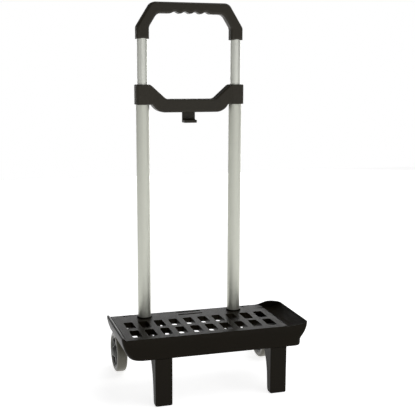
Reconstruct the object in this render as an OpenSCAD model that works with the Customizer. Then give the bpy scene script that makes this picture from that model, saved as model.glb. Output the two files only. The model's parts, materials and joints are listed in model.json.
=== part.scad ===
// Platform trolley for a school bag or box: an open moulded platform on two
// front legs and two rear wheels, with a two-stage telescopic pull handle.
// Millimetres. X is the width, Y runs front to back, Z is up, the floor is Z = 0,
// and the origin is the middle of the model's footprint.

/* [Platform] */
// Width over the two end rims
tray_w = 318; // [312:1:330]
// Depth from the front wall to the back edge
tray_d = 137; // [132:1:145]
// Height of the load surface above the floor
deck_z = 116; // [112:1:124]
// Thickness of the deck plate
deck_t = 3; // [2.4:0.2:4]
// Height of the front wall
front_wall_h = 36; // [32:1:40]
// Thickness of the outer walls
wall_t = 2.5; // [2:0.1:3.2]
// Height of the skirt under the back edge
back_skirt_h = 14; // [12:1:16]

/* [Windows and strap slots] */
// Columns of windows in the deck
window_columns = 10; // [4:2:10]
// Distance between window columns
window_pitch = 25.8; // [25:0.2:26]
// Width of a window
window_w = 15; // [12:0.5:16]
// Length of a window, front to back
window_l = 34; // [28:1:36]
// Depth of the rib round each window
window_rib_h = 9.5; // [6:0.5:10]
// Length of the two strap slots
strap_slot_l = 44; // [30:1:50]
// Width of the two strap slots
strap_slot_w = 4; // [3:0.5:4]

/* [Legs] */
// Width of a front leg
leg_w = 28.8; // [26:0.4:30]
// Depth of a leg where it leaves the platform
leg_top_d = 43; // [38:1:46]
// Depth of a leg at the floor
leg_foot_d = 18; // [16:1:22]
// Distance over the outer faces of the two legs
leg_span = 227; // [222:0.5:230]

/* [Wheels] */
// Diameter of a wheel over its tyre
wheel_d = 73; // [70:1:73]
// Width of a wheel
wheel_w = 18.6; // [16:0.2:19]
// Distance between the middle planes of the wheels
wheel_track = 274.4; // [270:0.4:275]
// Diameter of the axle rod
axle_d = 8; // [7:0.5:8]

/* [Telescopic handle] */
// Distance between the two tube axes
tube_spacing = 162; // [160:1:164]
// Outside diameter of the lower tubes
lower_tube_d = 22; // [22:1:22]
// Outside diameter of the upper tubes
upper_tube_d = 17; // [17:1:17]
// Wall of both tubes
tube_wall = 1.2; // [1.2:0.1:1.2]
// Height of the top of the crossbar collars
collar_top_z = 514; // [500:1:520]
// Height of the handle's lower ends as the handle stands
handle_foot_z = 588; // [586:1:592]
// Height of the top of the handle as the handle stands
handle_top_z = 648; // [648:1:650]
// How far the handle pulls up from where it stands
pull_travel = 260; // [200:5:280]
// How far the handle pushes down from where it stands
push_travel = 73.5; // [60:0.5:73.5]

/* [Hidden] */
$fn = 48;

eps = 0.01;
black = "#24241f";
smoke = "#77776f";
hub_grey = "#8c8c86";
silver = "#c3c4bb";
steel = "#a9abad";

// Plan of the cart
total_d = 220;
front_y = -total_d / 2;
back_y = front_y + tray_d;
end_x = tray_w / 2;
tube_cx = -14.6;
tube_y = 10;
base_cx = 7.9;
axle_y = total_d / 2 - wheel_d / 2;
axle_z = wheel_d / 2;
tube_x = [tube_cx - tube_spacing / 2, tube_cx + tube_spacing / 2];
leg_cx = [base_cx - (leg_span - leg_w) / 2, base_cx + (leg_span - leg_w) / 2];
wheel_cx = [base_cx - wheel_track / 2, base_cx + wheel_track / 2];
wall_foot_z = deck_z - front_wall_h;
under_deck_z = deck_z - deck_t;

// Profile of the platform ends
rim_left_z = deck_z + 3;
rim_right_z = deck_z + 5.5;
end_tuck = 11.5;
end_knee_z = deck_z - 26;
crease_x = -end_x + 6.5;
basin_depth = 7;
basin_half_w = 15.75;
basin_r = (pow(basin_half_w, 2) + pow(basin_depth, 2)) / (2 * basin_depth);
basin_x = end_x - 21.3;
basin_z = deck_z + basin_r - basin_depth;

// Windows
row_y = [-32.5, -78];
window_rib_t = 1.8;

// Tube sockets
socket_r = 14;
socket_ring_r = 13;
socket_ring_h = 2;
socket_floor_z = wall_foot_z + 1;
socket_rib_x = [[0, 28], [-22, 29]];
tube_foot_z = socket_floor_z + 3;
socket_pin_r = 2;
socket_pin_z = tube_foot_z + 14;

// Axle brackets
arm_t = 8.2;
arm_gap = 1.1;
arm_boss_r = 11.5;
arm_front_y = 6;
arm_back_y = back_y - wall_t - 1.5;
plate_top_z = deck_z - 12;
plate_t = 4;
bracket_screw_y = [10.5, 18.5];
screw_r = 1.6;
screw_head_r = 3.4;
thread_l = 2.2;

// Leg heads, held between two deck ribs by a cross bolt
head_top_z = deck_z - window_rib_h;
head_play = 0.2;
leg_bolt_r = 2;
leg_bolt_y = front_y + 15;
leg_bolt_z = deck_z - 15;

// Wheel
axle_r = axle_d / 2;
run_gap = 0.05;
bush_r = 6.5;
hub_r = 27.5;
spokes = 6;

// Tubes and guides
lower_r = lower_tube_d / 2;
upper_r = upper_tube_d / 2;
lower_bore_r = lower_r - tube_wall;
upper_bore_r = upper_r - tube_wall;
collar_h = 33;
collar_foot_z = collar_top_z - collar_h;
sleeve_top_z = collar_top_z - 1;
sleeve_flange_t = 2;
lower_tube_top_z = sleeve_top_z - sleeve_flange_t;
sleeve_foot_z = collar_foot_z - 5;
upper_tube_foot_z = sleeve_foot_z - pull_travel - 1;
upper_tube_top_z = handle_foot_z + 18;
slider_head_h = 12;
slider_shank_h = 22;
slider_r = lower_bore_r - 0.08;
ball_r = 2.4;
ball_z = upper_tube_foot_z - slider_head_h / 2;
detent_r = 1.9;

// Crossbar
bar_top_z = collar_top_z - 24;
bar_foot_z = collar_top_z - 46;
bar_half_d = 12;
collar_half_w = 12.4;
collar_half_d = 13;
bulge_r = 24;
hook_w = 22;
hook_y = tube_y + 7;
hook_t = 5;
hook_foot_z = bar_foot_z - 18;
hook_lip_h = 5;
hook_lip_reach = 12;
hook_tab_h = 9;

// Handle
grip_half_d = 9.8;
sleeve_half_w = 10.4;
bar_h = 18.5;
grip_foot_z = handle_top_z - bar_h;
shoulder_z = handle_foot_z + 20.5;
shoulder_x = 64;
finger_r = 8.6;
finger_pitch = 17.7;
finger_depth = 3.8;

// ---- Shared shapes -------------------------------------------------------

// Rectangle with a round at each corner, from low corner a to high corner b
module rounded_plan(a, b, r) {
    translate([a.x + r, a.y]) square([b.x - a.x - 2 * r, b.y - a.y]);
    translate([a.x, a.y + r]) square([b.x - a.x, b.y - a.y - 2 * r]);
    for (x = [a.x + r, b.x - r], y = [a.y + r, b.y - r]) translate([x, y]) circle(r);
}

// Solid box from low corner a to high corner b
module box(a, b) {
    translate(a) cube(b - a);
}

// Outline drawn in X and Z, made solid from y0 to y1
module upright(y0, y1) {
    translate([0, y1, 0]) rotate([90, 0, 0]) linear_extrude(y1 - y0) children();
}

// Outline drawn in Y and Z, made solid from x0 to x1
module sideways(x0, x1) {
    translate([x0, 0, 0]) rotate([90, 0, 90]) linear_extrude(x1 - x0) children();
}

// Cylinder along X, Y or Z from point p
module rod_x(p, r, h) {
    translate(p) rotate([0, 90, 0]) cylinder(r = r, h = h);
}
module rod_y(p, r, h) {
    translate(p) rotate([-90, 0, 0]) cylinder(r = r, h = h);
}
module rod_z(p, r, h) {
    translate(p) cylinder(r = r, h = h);
}

// Ring of a round bar, drawn about Z
module pipe(p, r, bore, h) {
    translate(p) difference() {
        cylinder(r = r, h = h);
        translate([0, 0, -1]) cylinder(r = bore, h = h + 2);
    }
}

// Points of an arc about c, from angle a0 to a1
function arc(c, r, a0, a1, n = 8) =
    [for (i = [0:n]) let (a = a0 + (a1 - a0) * i / n) c + r * [cos(a), sin(a)]];

// ---- Platform ------------------------------------------------------------

// Left end seen from the front, from the rim to the foot: it curls under
left_end = [[0, deck_z - 4], [6.5, wall_foot_z + 14], [11, wall_foot_z + 6],
            [16, wall_foot_z + 1.8], [23, wall_foot_z]];

// End profile of the platform, seen from the front
end_profile = concat(
    [[-end_x, rim_right_z]], [for (p = left_end) [-end_x + p.x, p.y]],
    [[end_x - end_tuck, wall_foot_z], [end_x - end_tuck, end_knee_z], [end_x, deck_z - 4],
     [end_x, rim_right_z]]
);

// Top line of the basin's front wall: level with the deck, up at the corner
module above_front_edge() {
    polygon([
        [-end_x + 4, deck_z], [basin_x - 12, deck_z], [end_x - 12, deck_z + 0.8],
        [end_x - 4, deck_z + 3.5], [end_x - 2, rim_right_z], [end_x - 2, rim_right_z + 9],
        [-end_x + 4, rim_right_z + 9]
    ]);
}

// Line of the basin's back wall: a hump that runs up to the right-hand rim
module above_back_edge() {
    polygon([
        [-end_x - 1, rim_left_z], [crease_x - 3, deck_z + 1.4], [crease_x, deck_z],
        [basin_x - 22, deck_z], [basin_x - 12, deck_z + 2], [basin_x - 2, rim_right_z],
        [end_x + 1, rim_right_z], [end_x + 1, rim_right_z + 9], [-end_x - 1, rim_right_z + 9]
    ]);
}

// Plan of the platform, pulled in by t: only the back right corner is large
module platform_plan(t) {
    linear_extrude(front_wall_h + 12) {
        rounded_plan([-end_x + t, front_y + t], [end_x - 30, back_y - t], 8 - t);
        rounded_plan([-end_x + 40, front_y + t], [end_x - t, back_y - t], 20 - t);
        rounded_plan([-end_x + 40, front_y + t], [end_x - t, back_y - 40], 8 - t);
    }
}

module platform_outer() {
    intersection() {
        upright(front_y, back_y)
            polygon(end_profile);
        translate([0, 0, wall_foot_z - 1]) platform_plan(0);
    }
}

module platform_cavity() {
    difference() {
        intersection() {
            upright(front_y + wall_t, back_y - wall_t)
                polygon([
                    [-end_x + 23, wall_foot_z - 1], [-end_x + 23, wall_foot_z + 1.8],
                    [-end_x + 14, wall_foot_z + 7], [-end_x + wall_t + 7, wall_foot_z + 15],
                    [-end_x + wall_t + 4, deck_z - 8], [-end_x + wall_t + 6, under_deck_z],
                    [basin_x - 15, under_deck_z], [end_x - wall_t - 4, deck_z - 8],
                    [end_x - end_tuck - wall_t, end_knee_z],
                    [end_x - end_tuck - wall_t, wall_foot_z - 1]
                ]);
            translate([0, 0, wall_foot_z - 2]) platform_plan(wall_t);
        }
        rod_y([basin_x, front_y, basin_z], basin_r + wall_t, tray_d);
    }
}

// The dished right-hand end
module basin() {
    intersection() {
        rod_y([basin_x, front_y + wall_t, basin_z], basin_r, tray_d - 2 * wall_t);
        translate([0, 0, wall_foot_z]) platform_plan(wall_t);
    }
}

module windows(grow, z0, z1) {
    for (i = [0:window_columns - 1], y = row_y) {
        x = tube_cx + (i - (window_columns - 1) / 2) * window_pitch;
        box([x - window_w / 2 - grow, y - window_l / 2 - grow, z0],
            [x + window_w / 2 + grow, y + window_l / 2 + grow, z1]);
    }
}

// Two ribs that run back from each leg under the deck, and one across each socket
module deck_ribs() {
    rib_back_y = [tube_y - socket_r, arm_front_y - 1];
    for (side = [0, 1], edge = [-1, 1]) {
        x = leg_cx[side] + edge * (leg_w / 2 - wall_t / 2);
        box([x - wall_t / 2, front_y + wall_t - eps, deck_z - 26],
            [x + wall_t / 2, rib_back_y[side], under_deck_z + eps]);
    }
    for (side = [0, 1])
        box([tube_x[side] + socket_rib_x[side][0], tube_y - wall_t / 2, wall_foot_z + 2],
            [tube_x[side] + socket_rib_x[side][1], tube_y + wall_t / 2, under_deck_z + eps]);
}

module platform_tray() color(black) {
    strap_y = [5, 19];
    difference() {
        union() {
            difference() {
                platform_outer();
                platform_cavity();
            }
            windows(window_rib_t, deck_z - window_rib_h, under_deck_z + eps);
            deck_ribs();
        }
        upright(front_y - 1, back_y + 1) above_back_edge();
        upright(front_y - 1, back_y - 22) above_front_edge();
        box([crease_x, front_y + 4, deck_z], [basin_x, back_y - wall_t, deck_z + 20]);
        box([crease_x - 1.2, front_y + 9, deck_z - 0.8], [crease_x, back_y - 4, deck_z + 5]);
        basin();
        windows(0, head_top_z, deck_z + 1);
        for (x = leg_cx)
            rod_x([x - leg_w, leg_bolt_y, leg_bolt_z], leg_bolt_r, 2 * leg_w);
        for (side = [0, 1], x = bracket_screw_x(side), y = bracket_screw_y)
            rod_z([x, y, under_deck_z - 1], screw_r, thread_l + 1);
        for (y = strap_y)
            box([tube_cx - strap_slot_l / 2, y - strap_slot_w / 2, deck_z - 10],
                [tube_cx + strap_slot_l / 2, y + strap_slot_w / 2, deck_z + 1]);
        for (s = [-1, 1])
            box([tube_cx + s * 109 - 7.5, back_y - 6, deck_z - 9],
                [tube_cx + s * 109 + 7.5, back_y - 1.3, deck_z + 1]);
        for (x = tube_x) {
            rod_z([x, tube_y, wall_foot_z - 1], socket_ring_r, front_wall_h + 3);
            rod_z([x, tube_y, wall_foot_z - 1], socket_r, under_deck_z - wall_foot_z + 1);
        }
        box([-end_x + 20, back_y - wall_t - 1, wall_foot_z - 1],
            [end_x - 20, back_y + 1, deck_z - back_skirt_h]);
    }
}

// ---- Legs ----------------------------------------------------------------

module leg_outline() {
    foot_r = 8;
    y0 = front_y;
    top_y = y0 + leg_top_d;
    foot_y = y0 + leg_foot_d;
    polygon(concat(
        [[y0, 2], [y0 + 2, 0]],
        arc([foot_y - foot_r, foot_r], foot_r, -90, 0),
        [[foot_y + 2.5, 34], [foot_y + 9, 56], [top_y - 9, 69], [top_y, wall_foot_z],
         [top_y, head_top_z], [y0 + wall_t, head_top_z], [y0 + wall_t, wall_foot_z],
         [y0, wall_foot_z]]
    ));
}

module leg(side) color(black) {
    draft = 0.2;
    pocket_t = 3;
    x = leg_cx[side];
    half = leg_w / 2;
    head_half = half - wall_t - head_play;
    difference() {
        intersection() {
            sideways(x - half - 2, x + half + 2) leg_outline();
            upright(front_y - 1, front_y + leg_top_d + 1)
                polygon([[x - half + draft, -1], [x + half - draft, -1], [x + half, wall_foot_z],
                         [x + head_half, wall_foot_z], [x + head_half, head_top_z + 1],
                         [x - head_half, head_top_z + 1], [x - head_half, wall_foot_z],
                         [x - half, wall_foot_z]]);
        }
        box([x - head_half + pocket_t, leg_bolt_y + 5, wall_foot_z + pocket_t],
            [x + head_half - pocket_t, front_y + leg_top_d + 1, head_top_z - pocket_t]);
        rod_x([x - half, leg_bolt_y, leg_bolt_z], leg_bolt_r, leg_w);
    }
}

module leg_left() leg(0);
module leg_right() leg(1);

// One bolt across each leg's head and the two ribs beside it, with a nut
module leg_bolts() color(steel) {
    head_t = 2.4;
    for (x = leg_cx) {
        rod_x([x - leg_w / 2, leg_bolt_y, leg_bolt_z], leg_bolt_r, leg_w);
        rod_x([x - leg_w / 2 - head_t, leg_bolt_y, leg_bolt_z], screw_head_r, head_t);
        translate([x + leg_w / 2, leg_bolt_y, leg_bolt_z]) rotate([0, 90, 0])
            cylinder(r = screw_head_r + 0.3, h = head_t, $fn = 6);
    }
}

// ---- Tube sockets --------------------------------------------------------

module tube_socket(side) color(black) {
    x = tube_x[side];
    difference() {
        union() {
            rod_z([x, tube_y, socket_floor_z], socket_r, under_deck_z - socket_floor_z);
            rod_z([x, tube_y, socket_floor_z], socket_ring_r,
                  deck_z + socket_ring_h - socket_floor_z);
        }
        rod_z([x, tube_y, tube_foot_z], lower_r, 60);
        rod_y([x, tube_y - 20, socket_pin_z], socket_pin_r, 40);
    }
}

module tube_socket_left() tube_socket(0);
module tube_socket_right() tube_socket(1);

// One cross pin through each socket and tube
module socket_pins() color(steel) {
    for (x = tube_x) {
        rod_y([x, tube_y - socket_r, socket_pin_z], socket_pin_r, 2 * socket_r);
    }
}

// ---- Axle and its brackets -----------------------------------------------

// Arm from under the deck to the axle, seen from the side
module arm_outline() {
    skirt_z = deck_z - back_skirt_h - 1;
    polygon(concat(
        [[arm_front_y, plate_top_z], [arm_front_y, plate_top_z - 5], [back_y, plate_top_z - 10],
         [back_y + 17, plate_top_z - 28]],
        arc([axle_y, axle_z], arm_boss_r, 190, 400, 16),
        [[back_y + 1, skirt_z], [arm_back_y, skirt_z], [arm_back_y, plate_top_z]]
    ));
}

// Inner and outer face of an arm; side 0 is the left one
function arm_out(side) = wheel_cx[side] - sign(wheel_cx[side]) * (wheel_w / 2 + arm_gap);
function arm_in(side) = arm_out(side) - sign(wheel_cx[side]) * arm_t;

// Foot that stands up to the deck, on the side of the arm that is free
function foot_x(side) = side == 0 ? [arm_out(0) - 16, arm_out(0) - 2]
                                  : [arm_in(1) - 27, arm_in(1) - 9];
function bracket_screw_x(side) = side == 0 ? [arm_out(0) - 9] : [arm_in(1) - 22, arm_in(1) - 14];

module axle_bracket(side) color(black) {
    x = [min(arm_in(side), arm_out(side)), max(arm_in(side), arm_out(side))];
    foot = foot_x(side);
    difference() {
        union() {
            sideways(x[0], x[1]) arm_outline();
            box([min(x[0], foot[0]), arm_front_y, plate_top_z - plate_t],
                [max(x[1], foot[1]), arm_back_y, plate_top_z]);
            box([foot[0], arm_front_y, plate_top_z - plate_t],
                [foot[1], arm_back_y, under_deck_z]);
        }
        rod_x([x[0] - 1, axle_y, axle_z], axle_r, arm_t + 2);
        for (sx = bracket_screw_x(side), y = bracket_screw_y)
            rod_z([sx, y, plate_top_z - plate_t - 1], screw_r, 20);
    }
}

module axle_bracket_left() axle_bracket(0);
module axle_bracket_right() axle_bracket(1);

module bracket_screws() color(steel) {
    foot_z = plate_top_z - plate_t;
    for (side = [0, 1], x = bracket_screw_x(side), y = bracket_screw_y) {
        rod_z([x, y, foot_z], screw_r, under_deck_z - foot_z + thread_l);
        rod_z([x, y, foot_z - 2], screw_head_r, 2);
    }
}

module axle() color(steel) {
    reach = wheel_track / 2 + wheel_w / 2 + 3;
    rod_x([base_cx - reach, axle_y, axle_z], axle_r, 2 * reach);
}

// Thin washers between each arm and its wheel
module axle_washers() color(steel) {
    for (s = [-1, 1]) {
        x = base_cx + s * (wheel_track / 2 - wheel_w / 2 - arm_gap / 2);
        difference() {
            rod_x([x - 0.45, axle_y, axle_z], 8, 0.9);
            rod_x([x - 1, axle_y, axle_z], axle_r, 2);
        }
    }
}

// Domed caps that hold the wheels on the axle
module axle_caps() color(hub_grey) {
    for (s = [-1, 1])
        translate([base_cx + s * (wheel_track / 2 + wheel_w / 2 + 0.3), axle_y, axle_z])
            rotate([0, s * 90, 0]) difference() {
                rotate_extrude() polygon(concat(
                    [[0, 0], [8.5, 0]], arc([6, 1.6], 2.5, 0, 90, 6), [[0, 4.1]]));
                translate([0, 0, -1]) cylinder(r = axle_r, h = 1 + 2.7);
            }
}

// ---- Wheels --------------------------------------------------------------

// Turns a shape made about Z so that it lies on the axle, middle plane at the wheel's
module on_axle(side) {
    translate([wheel_cx[side], axle_y, axle_z])
        rotate([0, side == 0 ? -90 : 90, 0]) children();
}

module tyre(side) color(smoke) {
    half = wheel_w / 2;
    shoulder = 4.5;
    on_axle(side) rotate_extrude(convexity = 4) polygon(concat(
        [[hub_r, -half + 1.2], [wheel_d / 2 - shoulder, -half]],
        arc([wheel_d / 2 - shoulder, -half + shoulder], shoulder, -90, 0, 6),
        arc([wheel_d / 2 - shoulder, half - shoulder], shoulder, 0, 90, 6),
        [[hub_r, half - 1.2]]));
}

module wheel_hub(side) color(hub_grey) {
    half = wheel_w / 2;
    rim_t = 3;
    boss_r = 10;
    on_axle(side) difference() {
        union() {
            pipe([0, 0, -half + 2], hub_r, hub_r - rim_t, wheel_w - 4);
            translate([0, 0, -half]) cylinder(r = boss_r, h = wheel_w);
            for (i = [0:spokes - 1]) rotate(i * 360 / spokes)
                box([boss_r - 2, -2.6, -half + 3], [hub_r - rim_t + 1, 2.6, half - 3]);
            translate([0, 0, -1]) cylinder(r = hub_r - 1, h = 2);
        }
        translate([0, 0, -half - 1]) cylinder(r = bush_r, h = wheel_w + 2);
    }
}

module wheel_bush(side) color("white")
    on_axle(side) pipe([0, 0, -wheel_w / 2], bush_r, axle_r + run_gap, wheel_w);

module tyre_left() tyre(0);
module tyre_right() tyre(1);
module wheel_hub_left() wheel_hub(0);
module wheel_hub_right() wheel_hub(1);
module wheel_bush_left() wheel_bush(0);
module wheel_bush_right() wheel_bush(1);

// ---- Tubes ---------------------------------------------------------------

// Detent holes at the back of the tube: pushed down, as it stands, and pulled up
module lower_tube(side) color(silver) {
    x = tube_x[side];
    difference() {
        pipe([x, tube_y, tube_foot_z], lower_r, lower_bore_r, lower_tube_top_z - tube_foot_z);
        for (travel = [-push_travel, 0, pull_travel])
            rod_y([x, tube_y + 5, ball_z + travel], detent_r, 10);
        rod_y([x, tube_y - 20, socket_pin_z], socket_pin_r, 40);
    }
}

module guide_sleeve(side) color(black) {
    x = tube_x[side];
    difference() {
        union() {
            rod_z([x, tube_y, sleeve_foot_z], lower_bore_r, sleeve_top_z - sleeve_foot_z);
            rod_z([x, tube_y, lower_tube_top_z], lower_r, sleeve_flange_t);
        }
        rod_z([x, tube_y, sleeve_foot_z - 1], upper_r + run_gap, 60);
    }
}

module upper_tube(side) color(silver)
    pipe([tube_x[side], tube_y, upper_tube_foot_z], upper_r, upper_bore_r,
         upper_tube_top_z - upper_tube_foot_z);

// Plug at the foot of the upper tube, with a cross bore for the spring and ball
module slider(side) color(black) {
    x = tube_x[side];
    foot = upper_tube_foot_z - slider_head_h;
    difference() {
        union() {
            rod_z([x, tube_y, foot], slider_r, slider_head_h);
            rod_z([x, tube_y, foot], upper_bore_r, slider_head_h + slider_shank_h);
        }
        rod_y([x, tube_y - 2, ball_z], ball_r + 0.1, 20);
    }
}

module detent_balls() color(steel) {
    for (x = tube_x)
        translate([x, tube_y + slider_r - ball_r - 0.3, ball_z]) sphere(ball_r);
}

module detent_springs() color(steel) {
    spring_l = slider_r - 2 * ball_r - 0.3 + 2;
    for (x = tube_x)
        translate([x, tube_y - 2, ball_z]) rotate([-90, 0, 0])
            pipe([0, 0, 0], ball_r - 0.2, ball_r - 0.9, spring_l - 0.8);
}

module lower_tube_left() lower_tube(0);
module lower_tube_right() lower_tube(1);
module guide_sleeve_left() guide_sleeve(0);
module guide_sleeve_right() guide_sleeve(1);
module upper_tube_left() upper_tube(0);
module upper_tube_right() upper_tube(1);
module slider_left() slider(0);
module slider_right() slider(1);

// ---- Crossbar ------------------------------------------------------------

// Bar between the collars, seen from the front: one end, from the collar to the middle
function bar_half_outline() = concat(
    [[0, bar_top_z], [-41, bar_top_z], [-46, bar_top_z + 1.6],
     [-66, collar_top_z - 2.5], [-70, collar_top_z], [-tube_spacing / 2, collar_top_z],
     [-tube_spacing / 2, collar_foot_z], [-67, collar_foot_z]],
    arc([-44.5, bar_foot_z + bulge_r], bulge_r, 205, 270, 6),
    [[0, bar_foot_z]]);

module crossbar_body() {
    translate([tube_cx, tube_y, 0]) {
        for (m = [0, 1]) mirror([m, 0, 0])
            upright(-bar_half_d, bar_half_d) polygon(bar_half_outline());
        for (s = [-1, 1]) translate([s * tube_spacing / 2, 0, collar_foot_z])
            linear_extrude(collar_h)
                rounded_plan([-collar_half_w, -collar_half_d], [collar_half_w, collar_half_d], 6);
    }
}

crossbar_screw_x = [-36, 36];
crossbar_screw_z = bar_foot_z + 11;

module crossbar_bores() {
    for (x = tube_x) {
        rod_z([x, tube_y, collar_foot_z - 1], lower_r, sleeve_top_z - collar_foot_z + 1);
        rod_z([x, tube_y, collar_foot_z - 1], upper_r + 0.35, 60);
    }
    box([tube_cx - hook_w / 2, hook_y - hook_t / 2, bar_foot_z - 1],
        [tube_cx + hook_w / 2, hook_y + hook_t / 2, bar_foot_z + hook_tab_h]);
    for (x = crossbar_screw_x)
        rod_y([tube_cx + x, tube_y - 8, crossbar_screw_z], screw_r, 30);
}

// Hollows that leave a shell round the bar and round the screw bosses
module crossbar_pockets() {
    for (x = [[-30, -14], [14, 30]])
        box([tube_cx + x[0], tube_y - bar_half_d + 3, bar_foot_z + 3],
            [tube_cx + x[1], tube_y + bar_half_d - 3, bar_top_z - 3]);
}

module crossbar_front_shell() color(black) difference() {
    crossbar_body();
    crossbar_bores();
    crossbar_pockets();
    box([-end_x, tube_y, bar_foot_z - 9], [end_x, tube_y + 40, collar_top_z + 9]);
}

module crossbar_rear_shell() color(black) difference() {
    crossbar_body();
    crossbar_bores();
    crossbar_pockets();
    box([-end_x, tube_y - 40, bar_foot_z - 9], [end_x, tube_y, collar_top_z + 9]);
    for (x = crossbar_screw_x)
        rod_y([tube_cx + x, tube_y + bar_half_d - 2, crossbar_screw_z], screw_head_r, 9);
}

module crossbar_screws() color(steel) {
    for (x = crossbar_screw_x) {
        rod_y([tube_cx + x, tube_y - 8, crossbar_screw_z], screw_r, bar_half_d + 6);
        rod_y([tube_cx + x, tube_y + bar_half_d - 2, crossbar_screw_z], screw_head_r, 1.6);
    }
}

// Tongue that takes the bag's hand loop, with a lip that faces the load
module bag_hook() color(black) {
    box([tube_cx - hook_w / 2, hook_y - hook_t / 2, hook_foot_z],
        [tube_cx + hook_w / 2, hook_y + hook_t / 2, bar_foot_z + hook_tab_h]);
    box([tube_cx - hook_w / 2, hook_y - hook_t / 2 - hook_lip_reach, hook_foot_z],
        [tube_cx + hook_w / 2, hook_y, hook_foot_z + hook_lip_h]);
}

// ---- Handle --------------------------------------------------------------

// Handle seen from the front: outside from the left foot to the middle, and back inside
function handle_half_outline() = let (edge = tube_spacing / 2) concat(
    [[-edge - sleeve_half_w, handle_foot_z], [-edge - sleeve_half_w, shoulder_z - 2]],
    [[-edge - sleeve_half_w + 1, shoulder_z + 2], [-shoulder_x - 3, handle_top_z - 3]],
    arc([-shoulder_x + 4, handle_top_z - 8], 8, 130, 90, 4),
    [[0, handle_top_z], [0, grip_foot_z], [-50, grip_foot_z], [-54, grip_foot_z - 1.5],
     [-58, grip_foot_z - 6], [-edge + sleeve_half_w - 0.6, shoulder_z + 1.5],
     [-edge + sleeve_half_w, shoulder_z - 3], [-edge + sleeve_half_w, handle_foot_z]]);

handle_screw_x = [-44, 0, 44];
handle_screw_z = handle_top_z - 6;

module handle_body() {
    difference() {
        translate([tube_cx, tube_y, 0]) for (m = [0, 1]) mirror([m, 0, 0])
            upright(-grip_half_d, grip_half_d) polygon(handle_half_outline());
        for (i = [-1.5:1.5])
            rod_y([tube_cx + i * finger_pitch, tube_y - 20,
                   grip_foot_z + finger_depth - finger_r], finger_r, 40);
        for (x = tube_x)
            rod_z([x, tube_y, handle_foot_z - 1], upper_r, upper_tube_top_z - handle_foot_z + 1);
        for (x = [[-40, -5], [5, 40]])
            box([tube_cx + x[0], tube_y - grip_half_d + 2.4, grip_foot_z + 6],
                [tube_cx + x[1], tube_y + grip_half_d - 2.4, handle_top_z - 2.4]);
        for (x = handle_screw_x)
            rod_y([tube_cx + x, tube_y - 6, handle_screw_z], screw_r, 30);
    }
}

module handle_front_shell() color(black) difference() {
    handle_body();
    box([-end_x, tube_y, handle_foot_z - 9], [end_x, tube_y + 40, handle_top_z + 9]);
}

module handle_rear_shell() color(black) difference() {
    handle_body();
    box([-end_x, tube_y - 40, handle_foot_z - 9], [end_x, tube_y, handle_top_z + 9]);
    for (x = handle_screw_x)
        rod_y([tube_cx + x, tube_y + grip_half_d - 2, handle_screw_z], screw_head_r, 9);
}

module handle_screws() color(steel) {
    for (x = handle_screw_x) {
        rod_y([tube_cx + x, tube_y - 6, handle_screw_z], screw_r, grip_half_d + 4);
        rod_y([tube_cx + x, tube_y + grip_half_d - 2, handle_screw_z], screw_head_r, 1.6);
    }
}

// ---- Nodes ---------------------------------------------------------------

platform_tray();
leg_left();
leg_right();
leg_bolts();
tube_socket_left();
tube_socket_right();
socket_pins();
axle_bracket_left();
axle_bracket_right();
bracket_screws();
axle();
axle_washers();
axle_caps();
tyre_left();
wheel_hub_left();
wheel_bush_left();
tyre_right();
wheel_hub_right();
wheel_bush_right();
lower_tube_left();
lower_tube_right();
guide_sleeve_left();
guide_sleeve_right();
crossbar_front_shell();
crossbar_rear_shell();
crossbar_screws();
bag_hook();
upper_tube_left();
upper_tube_right();
slider_left();
slider_right();
detent_balls();
detent_springs();
handle_front_shell();
handle_rear_shell();
handle_screws();
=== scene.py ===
"""Visual pieces of a telescopic platform cart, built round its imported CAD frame.

Shapes are drawn in millimetres in the frame's own axes and turned into metres
when a mesh is made. X is the width, Y runs front to back and Z is up.
"""

import json
import math

import bmesh
import bpy
import numpy as np
from bpy.props import FloatProperty, FloatVectorProperty, IntProperty, PointerProperty
from mathutils import Matrix, Vector


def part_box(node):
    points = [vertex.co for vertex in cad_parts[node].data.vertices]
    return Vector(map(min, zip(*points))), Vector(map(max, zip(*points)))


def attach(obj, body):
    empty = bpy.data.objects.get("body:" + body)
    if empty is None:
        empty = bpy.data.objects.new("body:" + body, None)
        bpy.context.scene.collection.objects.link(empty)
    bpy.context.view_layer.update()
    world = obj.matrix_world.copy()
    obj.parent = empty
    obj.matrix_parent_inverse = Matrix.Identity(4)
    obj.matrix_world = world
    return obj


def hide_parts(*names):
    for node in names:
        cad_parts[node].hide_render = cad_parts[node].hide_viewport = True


bl_info = {
    "name": "Telescopic Platform Cart",
    "version": (1, 0, 0),
    "blender": (4, 5, 0),
    "location": "3D View > Sidebar > Cart",
    "description": "Builds the visual pieces of a platform cart round its CAD frame",
    "category": "Object",
}

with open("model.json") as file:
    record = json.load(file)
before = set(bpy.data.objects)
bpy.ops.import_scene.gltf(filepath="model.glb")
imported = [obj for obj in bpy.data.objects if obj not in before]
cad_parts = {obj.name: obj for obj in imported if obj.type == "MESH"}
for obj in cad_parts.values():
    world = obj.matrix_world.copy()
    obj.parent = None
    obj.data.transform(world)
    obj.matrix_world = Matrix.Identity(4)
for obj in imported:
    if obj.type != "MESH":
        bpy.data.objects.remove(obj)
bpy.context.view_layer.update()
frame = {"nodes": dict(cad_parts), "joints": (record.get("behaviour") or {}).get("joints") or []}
MM = 0.001

# ---- Places taken from the frame, in millimetres --------------------------------


def box_mm(*nodes):
    """Lowest and highest corner of CAD nodes, in millimetres."""
    corners = [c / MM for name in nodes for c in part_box(name)]
    low = Vector(min(c[i] for c in corners) for i in range(3))
    return low, Vector(max(c[i] for c in corners) for i in range(3))


def middle(node):
    """Centre of a CAD node's box."""
    low, high = box_mm(node)
    return (low + high) / 2


def extent(node):
    """Length of a CAD node's box along X, Y and Z."""
    low, high = box_mm(node)
    return high - low


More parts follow.
